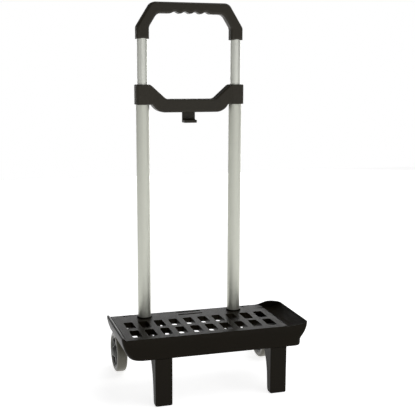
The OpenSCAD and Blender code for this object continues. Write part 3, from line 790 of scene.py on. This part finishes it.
def leg_rings(leg_x, low, head_depth):
    """Plan loops of a leg from its foot to the platform's underside."""
    top = [(72, head_depth - 6.5), (TRAY_LOW.z, head_depth)]
    rings = []
    for z, depth in flowing(LEG_LINE + top, 3):
        half = LEG_HALF - LEG_DRAFT * (1 - z / TRAY_LOW.z)
        foot = LEG_FOOT_ROUND * max(0.0, 1 - z / LEG_FOOT_ROUND) ** 2
        loop = plan_loop(leg_x - half + foot, leg_x + half - foot, low.y + foot,
                         low.y + depth, (2.4, 2.4, 3.2, 3.2), 5)
        rings.append([(x, y, z) for x, y in loop])
    return rings


class CART_OT_legs(bpy.types.Operator):
    """Build the two front legs"""

    bl_idname = "cart.legs"
    bl_label = "Legs"

    def execute(self, context):
        for side, leg_x in zip(SIDES, LEG_X):
            low, high = box_mm(f"leg_{side}")
            rings = leg_rings(leg_x, low, high.y - low.y)
            half = LEG_HALF - WALL - 0.2
            head = plan_loop(leg_x - half, leg_x + half, low.y + WALL, high.y,
                             (1.0, 1.0, 2.0, 2.0), 5)
            rings += [[(x, y, z) for x, y in head] for z in (TRAY_LOW.z, high.z)]
            leg = loft(f"front_leg_{side}", rings)
            soften(leg, 0.4, 50)
            hand_over(leg, "cart", "fitting_plastic", "smooth_black", f"leg_{side}")
        return {"FINISHED"}


class CART_OT_sockets(bpy.types.Operator):
    """Build the two sockets that hold the tubes in the deck"""

    bl_idname = "cart.sockets"
    bl_label = "Tube sockets"

    def execute(self, context):
        for side, x in zip(SIDES, TUBE_X):
            low, high = box_mm(f"tube_socket_{side}")
            bore, ring, body = SOCKET_BORE_R, SOCKET_RING_R, SOCKET_R
            shoulder_z = UNDER_DECK_Z - TOUCH
            profile = [(0, low.z), (body - 1.2, low.z), (body, low.z + 1.2),
                       (body, shoulder_z), (ring, shoulder_z), (ring, high.z - 0.7),
                       (ring - 0.2, high.z - 0.2), (ring - 0.7, high.z),
                       (bore + 0.5, high.z), (bore, high.z - 0.5), (bore, low.z + 3),
                       (0, low.z + 3)]
            socket = lathe(f"tube_seat_{side}", profile, (x, TUBE_Y, 0), segments=96)
            soften(socket, 0)
            hand_over(socket, "cart", "fitting_plastic", "smooth_black",
                      f"tube_socket_{side}")
        return {"FINISHED"}


# ---- Axle, brackets and wheels ---------------------------------------------------

ARM_THICK = 8.2
ARM_GAP = 1.1  # between a bracket's arm and its wheel
ARM_ROUND = 1.1
BOSS_R = 11.5  # end of the arm, round the axle
BRACKET_Z = DECK_Z - 12  # top of the bracket's plate
# Domed cap from its middle: (radius, height in from the cap's face)
CAP_PROFILE = [
    (0, 0), (2.5, 0.12), (4.6, 0.5), (6.5, 1.25), (7.7, 2.3), (8.3, 3.2), (8.5, 3.9),
    (8.5, 4.1), (AXLE_BORE_R, 4.1), (AXLE_BORE_R, 1.5), (0, 1.5)]


def arm_outline(wheel, front_y, back_y):
    """Side view of a bracket, from its plate out to the boss round the axle."""
    turns = [math.radians(190 + 210 * k / 24) for k in range(25)]
    boss = [(wheel.y + BOSS_R * math.cos(a), wheel.z + BOSS_R * math.sin(a)) for a in turns]
    skirt_z = BRACKET_Z - 3
    return [(front_y, BRACKET_Z), (front_y, BRACKET_Z - 5), (TRAY_HIGH.y, BRACKET_Z - 10),
            (TRAY_HIGH.y + 17, BRACKET_Z - 28), *boss, (TRAY_HIGH.y + 1, skirt_z),
            (back_y, skirt_z), (back_y, BRACKET_Z)]


def bracket(side, wheel):
    """Arm from the platform to the axle, with its plate and the stand over it."""
    front_y = box_mm(f"axle_bracket_{side}")[0].y
    back_y = TRAY_HIGH.y - WALL - 1.5
    outward = math.copysign(1, wheel.x)
    arm_out = wheel.x - outward * (WHEEL_HALF + ARM_GAP)
    arm_in = arm_out - outward * ARM_THICK
    left, right = min(arm_in, arm_out), max(arm_in, arm_out)
    arm = pillow(f"axle_arm_{side}", arm_outline(wheel, front_y, back_y), left, right,
                 ARM_ROUND, "X", 4)
    foot = (arm_out - 16, arm_out - 2) if outward < 0 else (arm_in - 27, arm_in - 9)
    plate = column("plate", plan_loop(min(foot[0], left) + 0.4, max(foot[1], right) - 0.4,
                                      front_y, back_y, [2] * 4, 3),
                   BRACKET_Z - 4, BRACKET_Z - 0.05)
    stand = column("stand", plan_loop(*foot, front_y + 0.3, back_y - 0.3, [2] * 4, 3),
                   BRACKET_Z - 2, UNDER_DECK_Z - TOUCH)
    combine(arm, "UNION", plate, stand)
    hole = cylinder("hole", AXLE_BORE_R, -20, 20, (arm_out, wheel.y, wheel.z), "X")
    combine(arm, "DIFFERENCE", hole)
    return soften(arm, 0)


class CART_OT_axle(bpy.types.Operator):
    """Build the axle brackets and the caps on the axle's ends"""

    bl_idname = "cart.axle"
    bl_label = "Axle and brackets"

    def execute(self, context):
        for side, wheel in zip(SIDES, WHEEL_AT):
            arm = bracket(side, wheel)
            hand_over(arm, "cart", "fitting_plastic", "smooth_black",
                      f"axle_bracket_{side}")
        low, high = box_mm("axle_caps")
        for side, outer, inward in (("left", low.x, 1), ("right", high.x, -1)):
            cap = lathe(f"axle_cap_{side}", [(r, inward * h) for r, h in CAP_PROFILE],
                        (outer, *WHEEL_AT[0].yz), "X", segments=48)
            soften(cap, 0.15)
            hand_over(cap, "cart", "hub_plastic", "grey_hub", "axle_caps")
        return {"FINISHED"}


TYRE_SEAT_R = 27.5  # where a tyre meets its hub
TREAD_ROUND = 4.6
HUB_BOSS_R = 10.3
BUSH_R = 6.5
BUSH_BORE_R = 4.06


def tyre_profile(half, outer, seat):
    """Half round tyre with a shallow groove near each bead and a mould line."""
    tread = [(outer - TREAD_ROUND * (1 - math.sin(a)),
              half * 0.985 - TREAD_ROUND * (1 - math.cos(a)))
             for a in (math.radians(90 * k / 8) for k in range(1, 9))]
    side = [(seat + 0.02, half - 1.3), (seat + 0.5, half - 0.75), (seat + 1.2, half - 0.55),
            (seat + 1.9, half - 0.75), (seat + 2.5, half - 0.35), (seat + 3.4, half - 0.05),
            (outer - 4.9, half - 0.03)]
    crown = [(outer, 1.0), (outer - 0.02, 0.35), (outer - 0.12, 0.12)]
    right = side + tread[:-1] + crown
    return right + [(r, -h) for r, h in reversed(right)]


def hub_shell(centre, half, seat, spokes, name):
    """Rim ring, centre boss, thin web and tapered spokes, in one moulding."""
    rim = [(seat, half - 2), (seat - 0.4, half - 1.6), (seat - 2.4, half - 1.6),
           (seat - 3, half - 2.2), (seat - 3, -half + 2.2), (seat - 2.4, -half + 1.6),
           (seat - 0.4, -half + 1.6), (seat, -half + 2)]
    ring = lathe(name, rim, centre, "X", hollow=True, segments=96)
    web = cylinder("web", seat - 1, -1, 1, centre, "X", 96)
    boss = lathe("boss", [(0, -half), (9.3, -half), (10, -half + 0.8),
                          (HUB_BOSS_R, -half + 3), (HUB_BOSS_R, half - 3),
                          (10, half - 0.8), (9.3, half), (0, half)], centre, "X")
    outline = [(-3.1, 8), (3.1, 8), (2.3, seat - 2), (-2.3, seat - 2)]
    arms = []
    for i in range(spokes):
        turn = Matrix.Rotation(2 * math.pi * i / spokes, 4, "X")
        arm = slab("spoke", outline, -half + 3.2, half - 3.2, "X")
        arm.data.transform(Matrix.Translation(Vector(centre) * MM) @ turn)
        arms.append(arm)
    combine(ring, "UNION", web, boss, *arms)
    bore = cylinder("bore", BUSH_R + TOUCH, -half - PAST, half + PAST, centre, "X", 48)
    return combine(ring, "DIFFERENCE", bore)


class CART_OT_wheels(bpy.types.Operator):
    """Build the two wheels: tyre, spoked hub and bush"""

    bl_idname = "cart.wheels"
    bl_label = "Wheels"

    def execute(self, context):
        spokes = context.scene.cart_sizes.spokes
        for side, centre in zip(SIDES, WHEEL_AT):
            low, high = box_mm(f"tyre_{side}")
            half, outer = (high.x - low.x) / 2, (high.z - low.z) / 2
            body, seat = f"wheel_{side}", TYRE_SEAT_R
            tyre = lathe(f"smoke_tyre_{side}", tyre_profile(half, outer, seat), centre, "X",
                         hollow=True, segments=128)
            soften(tyre, 0)
            hand_over(tyre, body, "tyre_plastic", "smoke_tyre", f"tyre_{side}")
            hub = hub_shell(centre, half, seat, spokes, f"spoked_hub_{side}")
            soften(hub, 0.35)
            hand_over(hub, body, "hub_plastic", "grey_hub", f"wheel_hub_{side}")
            profile = [(BUSH_R, half - 0.3), (BUSH_R - 0.3, half), (4.4, half),
                       (BUSH_BORE_R, half - 0.35), (BUSH_BORE_R, -half + 0.35),
                       (4.4, -half), (BUSH_R - 0.3, -half), (BUSH_R, -half + 0.3)]
            bush = lathe(f"nylon_bush_{side}", profile, centre, "X", hollow=True, segments=48)
            soften(bush, 0)
            hand_over(bush, body, "bush_plastic", "natural_nylon", f"wheel_bush_{side}")
        return {"FINISHED"}


# ---- Tubes -----------------------------------------------------------------------

DETENT_HOLE_R = 1.9
SLEEVE_R = 9.8  # guide sleeve in the lower tube
SLEEVE_BORE_R = 8.56
SLEEVE_FLANGE_R = 11.0
SLEEVE_FLANGE = 2.0  # height of the part that stands on the tube's end


def tube_profile(node):
    """Wall of a tube, with its two ends broken all round."""
    low, high = box_mm(node)
    outer, lip = (high.x - low.x) / 2, 0.25
    bore = outer - TUBE_WALL
    return [(outer, low.z + lip), (outer, high.z - lip), (outer - lip, high.z),
            (bore + lip, high.z), (bore, high.z - lip), (bore, low.z + lip),
            (bore + lip, low.z), (outer - lip, low.z)]


class CART_OT_tubes(bpy.types.Operator):
    """Build the two-stage tubes and the guide sleeves between them"""

    bl_idname = "cart.tubes"
    bl_label = "Tubes"

    def execute(self, context):
        detents = middle("detent_balls").z
        travel = [joint for joint in frame["joints"] if joint["name"] == "handle_slide"][0]
        stops = [travel["range_m"][0] / MM, 0.0, travel["range_m"][1] / MM]
        for side, x in zip(SIDES, TUBE_X):
            lower = lathe(f"outer_tube_{side}", tube_profile(f"lower_tube_{side}"),
                          (x, TUBE_Y, 0), hollow=True, segments=96)
            holes = group_of("holes", [
                cylinder("hole", DETENT_HOLE_R, 5, 15, (x, TUBE_Y, detents + stop), "Y", 32)
                for stop in stops])
            combine(lower, "DIFFERENCE", holes)
            soften(lower, 0)
            hand_over(lower, "cart", "lower_tube_aluminium", "anodised_lower",
                      f"lower_tube_{side}")
            upper = lathe(f"inner_tube_{side}", tube_profile(f"upper_tube_{side}"),
                          (x, TUBE_Y, 0), hollow=True, segments=96)
            soften(upper, 0)
            hand_over(upper, "handle", "upper_tube_aluminium", "anodised_upper",
                      f"upper_tube_{side}")
            low, high = box_mm(f"guide_sleeve_{side}")
            shoulder_z = high.z - SLEEVE_FLANGE
            sleeve = lathe(f"guide_bush_{side}",
                           [(SLEEVE_R, low.z + 1), (SLEEVE_R, shoulder_z),
                            (SLEEVE_FLANGE_R, shoulder_z),
                            (SLEEVE_FLANGE_R, high.z - 0.3),
                            (SLEEVE_FLANGE_R - 0.3, high.z), (8.9, high.z),
                            (SLEEVE_BORE_R, high.z - 0.4), (SLEEVE_BORE_R, low.z),
                            (SLEEVE_R - 0.4, low.z)],
                           (x, TUBE_Y, 0), hollow=True)
            soften(sleeve, 0)
            hand_over(sleeve, "cart", "fitting_plastic", "smooth_black",
                      f"guide_sleeve_{side}")
        return {"FINISHED"}


# ---- Crossbar, hook and handle ---------------------------------------------------


def mirrored(half):
    """Closed outline from its left half, which runs round from the top middle."""
    return half + [(-u, z) for u, z in reversed(half)]


def around_middle(outline):
    """An outline about the middle of the tubes, put in its place."""
    return [(CENTRE_X + u, z) for u, z in outline]


def two_shells(whole, names, seam, low, high):
    """Splits a body into a front and a rear shell at the tubes' plane."""
    halves = []
    for name, y0, y1 in ((names[0], low.y - 5, TUBE_Y - seam / 2),
                         (names[1], TUBE_Y + seam / 2, high.y + 5)):
        shell = whole.copy()
        shell.data, shell.name = whole.data.copy(), name
        bpy.context.scene.collection.objects.link(shell)
        room = block("room", (low.x - 5, y0, low.z - 9), (high.x + 5, y1, high.z + 9))
        halves.append(combine(shell, "INTERSECT", room))
    bpy.data.meshes.remove(whole.data)
    return halves


# Half of a pan-head screw from its point: (radius, height from under the head)
SCREW_PROFILE = [
    (0, -14), (1.3, -13), (1.6, -12), (1.6, 0), (3.3, 0), (3.35, 0.5), (2.9, 1.2),
    (1.8, 1.55), (0, 1.6)]
RECESS_LONG, RECESS_NARROW = 1.7, 0.35
WELL_R = 3.6


def screw_row(name, places, face_y, body, node):
    """Pan-head screws with cross recesses, heads towards +Y."""
    screws = []
    for x, z in places:
        screw = lathe("screw", SCREW_PROFILE, (x, face_y, z), "Y", segments=32)
        cross = [block("bar", (x - a, face_y + 0.5, z - b), (x + a, face_y + 3, z + b))
                 for a, b in ((RECESS_LONG, RECESS_NARROW), (RECESS_NARROW, RECESS_LONG))]
        screws.append(combine(screw, "DIFFERENCE", *cross))
    row = soften(group_of(name, screws), 0.12)
    hand_over(row, body, "steel_parts", "zinc_plate", node)


def screw_wells(places, face_y):
    """Round wells that open towards +Y, for the screws' heads."""
    return group_of("wells", [
        cylinder("well", WELL_R, 0, 12, (x, face_y, z), "Y", 40) for x, z in places])


def bore_cutters(steps):
    """Round bores on both tube axes; steps are (radius, z0, z1)."""
    return [group_of(f"bores_{i}", [
        cylinder("bore", r, z0, z1, (x, TUBE_Y, 0), segments=96) for x in TUBE_X])
        for i, (r, z0, z1) in enumerate(steps)]


COLLAR_HEIGHT = 33
COLLAR_HALF_W = 12.4
COLLAR_HALF_DEPTH = 13
BAR_HALF_DEPTH = 12
BAR_TOP_DROP = 24  # top of the bar's middle, below the collars' tops
BAR_SCREW_OUT = 36
BAR_WELL_Y = TUBE_Y + 10
HOOK_THICK = 5
BAR_BORE_R = 11.06  # round the lower tubes
BAR_MOUTH_R = 8.85  # round the upper tubes, through the collars' tops


def crossbar_outline():
    """Front view of the crossbar: a shallow U between the two collars."""
    top, foot = BAR_HIGH.z, BAR_LOW.z
    saddle, collar_foot = top - BAR_TOP_DROP, top - COLLAR_HEIGHT
    half = filleted([(-20, saddle, 0), (-42.5, saddle, 12), (-68.5, top - 0.8, 5),
                     (-84, top, 0), (-84, collar_foot, 0), (-67.5, collar_foot, 0)], 8)[:-1]
    turns = [math.radians(208 + 62 * k / 10) for k in range(11)]
    low_arc = [(-44.5 + 24 * math.cos(a), foot + 24 + 24 * math.sin(a)) for a in turns]
    return around_middle(mirrored(half + low_arc + [(-20, foot)]))


def tube_collar(x):
    """Collar of the crossbar round one tube."""
    top, foot, rings = BAR_HIGH.z, BAR_HIGH.z - COLLAR_HEIGHT, []
    for z, pull in ((foot, 0.9), (foot + 0.3, 0.25), (foot + 0.9, 0),
                    (top - 1.6, 0), (top - 0.6, 0.35), (top, 1.3)):
        half_w, half_depth = COLLAR_HALF_W - pull, COLLAR_HALF_DEPTH - pull
        loop = plan_loop(x - half_w, x + half_w, TUBE_Y - half_depth, TUBE_Y + half_depth,
                         [6 - 0.5 * pull] * 4, 8)
        rings.append([(a, b, z) for a, b in loop])
    return loft("collar", rings)


def bag_hook():
    """Tongue that hangs from the crossbar and turns forward at its foot."""
    low, high = box_mm("bag_hook")
    back_y, stem_y = high.y, high.y - HOOK_THICK
    profile = filleted([(back_y, low.z, 1.2), (back_y, high.z, 0.6), (stem_y, high.z, 0.6),
                        (stem_y, low.z + 5, 2.2), (low.y + 0.6, low.z + 5.0, 1.0),
                        (low.y, low.z + 3.6, 1.0), (low.y, low.z, 1.6)], 5)
    return soften(pillow("bag_hook_tongue", profile, low.x, high.x, 0.8, "X", 4), 0)


class CART_OT_crossbar(bpy.types.Operator):
    """Build the crossbar shells, their screws and the bag hook"""

    bl_idname = "cart.crossbar"
    bl_label = "Crossbar and hook"

    def execute(self, context):
        sizes = context.scene.cart_sizes
        top, foot = BAR_HIGH.z, BAR_LOW.z
        bar = pillow("crossbar", crossbar_outline(), TUBE_Y - BAR_HALF_DEPTH,
                     TUBE_Y + BAR_HALF_DEPTH, sizes.bar_round / MM)
        combine(bar, "UNION", *[tube_collar(x) for x in TUBE_X])
        combine(bar, "DIFFERENCE", *bore_cutters([(BAR_BORE_R, foot - 5, top - 1),
                                                  (BAR_MOUTH_R, top - 10, top + 5)]))
        front, rear = two_shells(bar, ("crossbar_face", "crossbar_back"),
                                 sizes.shell_seam / MM, BAR_LOW, BAR_HIGH)
        screws = [(CENTRE_X + u, foot + 11) for u in (-BAR_SCREW_OUT, BAR_SCREW_OUT)]
        combine(rear, "DIFFERENCE", screw_wells(screws, BAR_WELL_Y))
        for shell, node in ((front, "crossbar_front_shell"), (rear, "crossbar_rear_shell")):
            soften(shell, 0.3, 50)
            hand_over(shell, "cart", "grip_plastic", "satin_grip", node)
        screw_row("crossbar_screw_heads", screws, BAR_WELL_Y + TOUCH, "cart",
                  "crossbar_screws")
        hand_over(bag_hook(), "cart", "grip_plastic", "satin_grip", "bag_hook")
        return {"FINISHED"}


GRIP_BAR = 18.5  # height of the bar that a hand closes round
SHOULDER_RISE = 20.5  # where the ends turn in, over their feet
FINGER_PITCH = 17.7
FINGER_DEPTH = 3.2
WELL_DEPTH = 2.0
HANDLE_SCREW_OUT = 44
HANDLE_BORE_R = 8.53


def handle_outline():
    """Front view of the pull handle, with finger hollows under its bar."""
    foot, top = GRIP_LOW.z, GRIP_HIGH.z
    under, shoulder = top - GRIP_BAR, foot + SHOULDER_RISE
    half = filleted([(0, top, 0), (-66.5, top, 13), (-91.4, shoulder - 0.5, 9),
                     (-91.4, foot, 0), (-70.6, foot, 0), (-70.6, shoulder - 1, 14),
                     (-57, under, 12), (-40, under, 0)], 8)
    scallop = [(u, under + FINGER_DEPTH * math.sin(math.pi * u / FINGER_PITCH) ** 2)
               for u in (FINGER_PITCH * (k / 10 - 2) for k in range(20))]
    return around_middle(mirrored([(-20, top)] + half[1:] + scallop[1:]))


class CART_OT_handle(bpy.types.Operator):
    """Build the pull handle's shells and their screws"""

    bl_idname = "cart.handle"
    bl_label = "Pull handle"

    def execute(self, context):
        sizes = context.scene.cart_sizes
        body = pillow("pull_handle", handle_outline(), GRIP_LOW.y, GRIP_HIGH.y,
                      sizes.grip_round / MM, steps=6)
        bore_top = box_mm("upper_tube_left")[1].z
        combine(body, "DIFFERENCE",
                *bore_cutters([(HANDLE_BORE_R, GRIP_LOW.z - 5, bore_top)]))
        front, rear = two_shells(body, ("handle_face", "handle_back"),
                                 sizes.shell_seam / MM, GRIP_LOW, GRIP_HIGH)
        screws = [(CENTRE_X + u, GRIP_HIGH.z - 6)
                  for u in (-HANDLE_SCREW_OUT, 0, HANDLE_SCREW_OUT)]
        face_y = GRIP_HIGH.y - WELL_DEPTH
        combine(rear, "DIFFERENCE", screw_wells(screws, face_y))
        for shell, node in ((front, "handle_front_shell"), (rear, "handle_rear_shell")):
            soften(shell, 0.25, 50)
            hand_over(shell, "handle", "grip_plastic", "satin_grip", node)
        screw_row("handle_screw_heads", screws, face_y + TOUCH, "handle", "handle_screws")
        return {"FINISHED"}


# ---- Frame parts that keep their CAD shape ---------------------------------------


class CART_OT_fittings(bpy.types.Operator):
    """Finish the axle, bolts, pins, washers, sliders and detents"""

    bl_idname = "cart.fittings"
    bl_label = "Fittings"

    def execute(self, context):
        kept = {
            "axle": "bright_rod", "axle_washers": "zinc_plate", "leg_bolts": "zinc_plate",
            "socket_pins": "zinc_plate", "bracket_screws": "zinc_plate",
            "detent_balls": "zinc_plate", "detent_springs": "zinc_plate",
            "slider_left": "smooth_black", "slider_right": "smooth_black",
        }
        for node, finish in kept.items():
            part = frame["nodes"][node]
            part.data.materials.clear()
            part.data.materials.append(bpy.data.materials[finish])
            join = part.modifiers.new("join", "WELD")
            join.merge_threshold = 2e-6
            soften(part, 0.2, 40)
        return {"FINISHED"}


# ---- Stage -----------------------------------------------------------------------

WHITE = (1.0, 1.0, 1.0, 1.0)


def soft_light(name, stand, aim, width, height, power):
    """Rectangular light that the camera doesn't see; lengths in metres, power in watts."""
    data = bpy.data.lights.new(name, "AREA")
    data.shape, data.size, data.size_y, data.energy = "RECTANGLE", width, height, power
    lamp = bpy.data.objects.new(name, data)
    lamp.location = stand
    lamp.rotation_euler = (Vector(aim) - Vector(stand)).to_track_quat("-Z", "Y").to_euler()
    lamp.visible_camera = False
    bpy.context.scene.collection.objects.link(lamp)


def studio_floor(colour):
    """Bright floor that ends just in front of the back light."""
    floor = block("studio_floor", (-6000, -6000, -20), (6000, 2750, 0))
    tree, shader = new_finish("studio_floor", colour, Roughness=0.85,
                              Specular_IOR_Level=0.1, Emission_Strength=0.76)
    shader.inputs["Emission Color"].default_value = WHITE
    cloud = place(tree, "ShaderNodeTexNoise", {"Scale": 2.0, "Detail": 2.0})
    tree.links.new(blended(tree, cloud.outputs["Fac"], shade(colour, 0.99),
                           shade(colour, 1.01)), shader.inputs["Base Color"])
    floor.data.materials.append(bpy.data.materials["studio_floor"])


def studio_world(scene):
    """Dim white room that looks plain white to the camera."""
    world = bpy.data.worlds.new("studio")
    scene.world = world
    world.use_nodes = True
    tree = world.node_tree
    room = tree.nodes["Background"]
    room.inputs["Color"].default_value = WHITE
    room.inputs["Strength"].default_value = 0.14
    white = place(tree, "ShaderNodeBackground", {"Color": WHITE, "Strength": 1.0})
    seen = place(tree, "ShaderNodeLightPath").outputs["Is Camera Ray"]
    mixed = place(tree, "ShaderNodeMixShader",
                  {0: seen, 1: room.outputs[0], 2: white.outputs[0]})
    tree.links.new(mixed.outputs[0], tree.nodes["World Output"].inputs["Surface"])


def studio_camera(scene):
    """Camera in front, to the left of the cart and a little over its middle."""
    data = bpy.data.cameras.new("camera")
    data.lens, data.sensor_width = 71.96, 36.0
    data.clip_start, data.clip_end = 0.05, 50
    camera = bpy.data.objects.new("camera", data)
    azimuth, pitch, roll = (math.radians(a) for a in (17.16, 9.5, 0.21))
    ahead = Vector((math.sin(azimuth) * math.cos(pitch),
                    math.cos(azimuth) * math.cos(pitch), -math.sin(pitch)))
    turn = ahead.to_track_quat("-Z", "Y").to_matrix() @ Matrix.Rotation(roll, 3, "Z")
    camera.rotation_euler = turn.to_euler()
    camera.location = (-0.4012, -1.3469, 0.5403)
    scene.collection.objects.link(camera)
    bpy.context.scene.camera = camera


class CART_OT_stage(bpy.types.Operator):
    """Set up the floor, the soft light and the camera"""

    bl_idname = "cart.stage"
    bl_label = "Stage"

    def execute(self, context):
        scene = context.scene
        studio_floor(scene.cart_colours.floor)
        studio_world(scene)
        soft_light("back_sheet", (1.3, 2.8, 0.42), (0.3, 0.0, 0.2), 3.8, 0.8, 34)
        soft_light("top_sheet", (1.2, -0.3, 2.4), (0.0, 0.0, 0.0), 2.6, 2.6, 30)
        soft_light("left_sheet", (-2.4, -0.6, 0.9), (0.0, 0.0, 0.3), 2.0, 1.6, 1.5)
        soft_light("front_sheet", (0.3, -3.0, 1.1), (0.0, 0.0, 0.4), 5.0, 2.2, 14)
        studio_camera(scene)
        scene.view_settings.view_transform = "Standard"
        return {"FINISHED"}


# ---- Panel and registration ------------------------------------------------------

STEPS = (
    CART_OT_finishes, CART_OT_platform, CART_OT_legs, CART_OT_sockets, CART_OT_axle,
    CART_OT_wheels, CART_OT_tubes, CART_OT_crossbar, CART_OT_handle, CART_OT_fittings,
    CART_OT_stage,
)


class CART_PT_panel(bpy.types.Panel):
    """Sizes, colours and build steps of the cart"""

    bl_idname = "CART_PT_panel"
    bl_label = "Platform Cart"
    bl_space_type = "VIEW_3D"
    bl_region_type = "UI"
    bl_category = "Cart"

    def draw(self, context):
        for settings in (context.scene.cart_sizes, context.scene.cart_colours):
            box = self.layout.box()
            for title in settings.__annotations__:
                box.prop(settings, title)
        for step in STEPS:
            self.layout.operator(step.bl_idname)


CLASSES = (CartSizes, CartColours, *STEPS, CART_PT_panel)


def register():
    for kind in CLASSES:
        bpy.utils.register_class(kind)
    bpy.types.Scene.cart_sizes = PointerProperty(type=CartSizes)
    bpy.types.Scene.cart_colours = PointerProperty(type=CartColours)


def unregister():
    del bpy.types.Scene.cart_colours
    del bpy.types.Scene.cart_sizes
    for kind in reversed(CLASSES):
        bpy.utils.unregister_class(kind)


def main():
    """Builds the cart and its stage."""
    register()
    for step in STEPS:
        group, name = step.bl_idname.split(".")
        getattr(getattr(bpy.ops, group), name)()


if __name__ == "__main__":
    main()
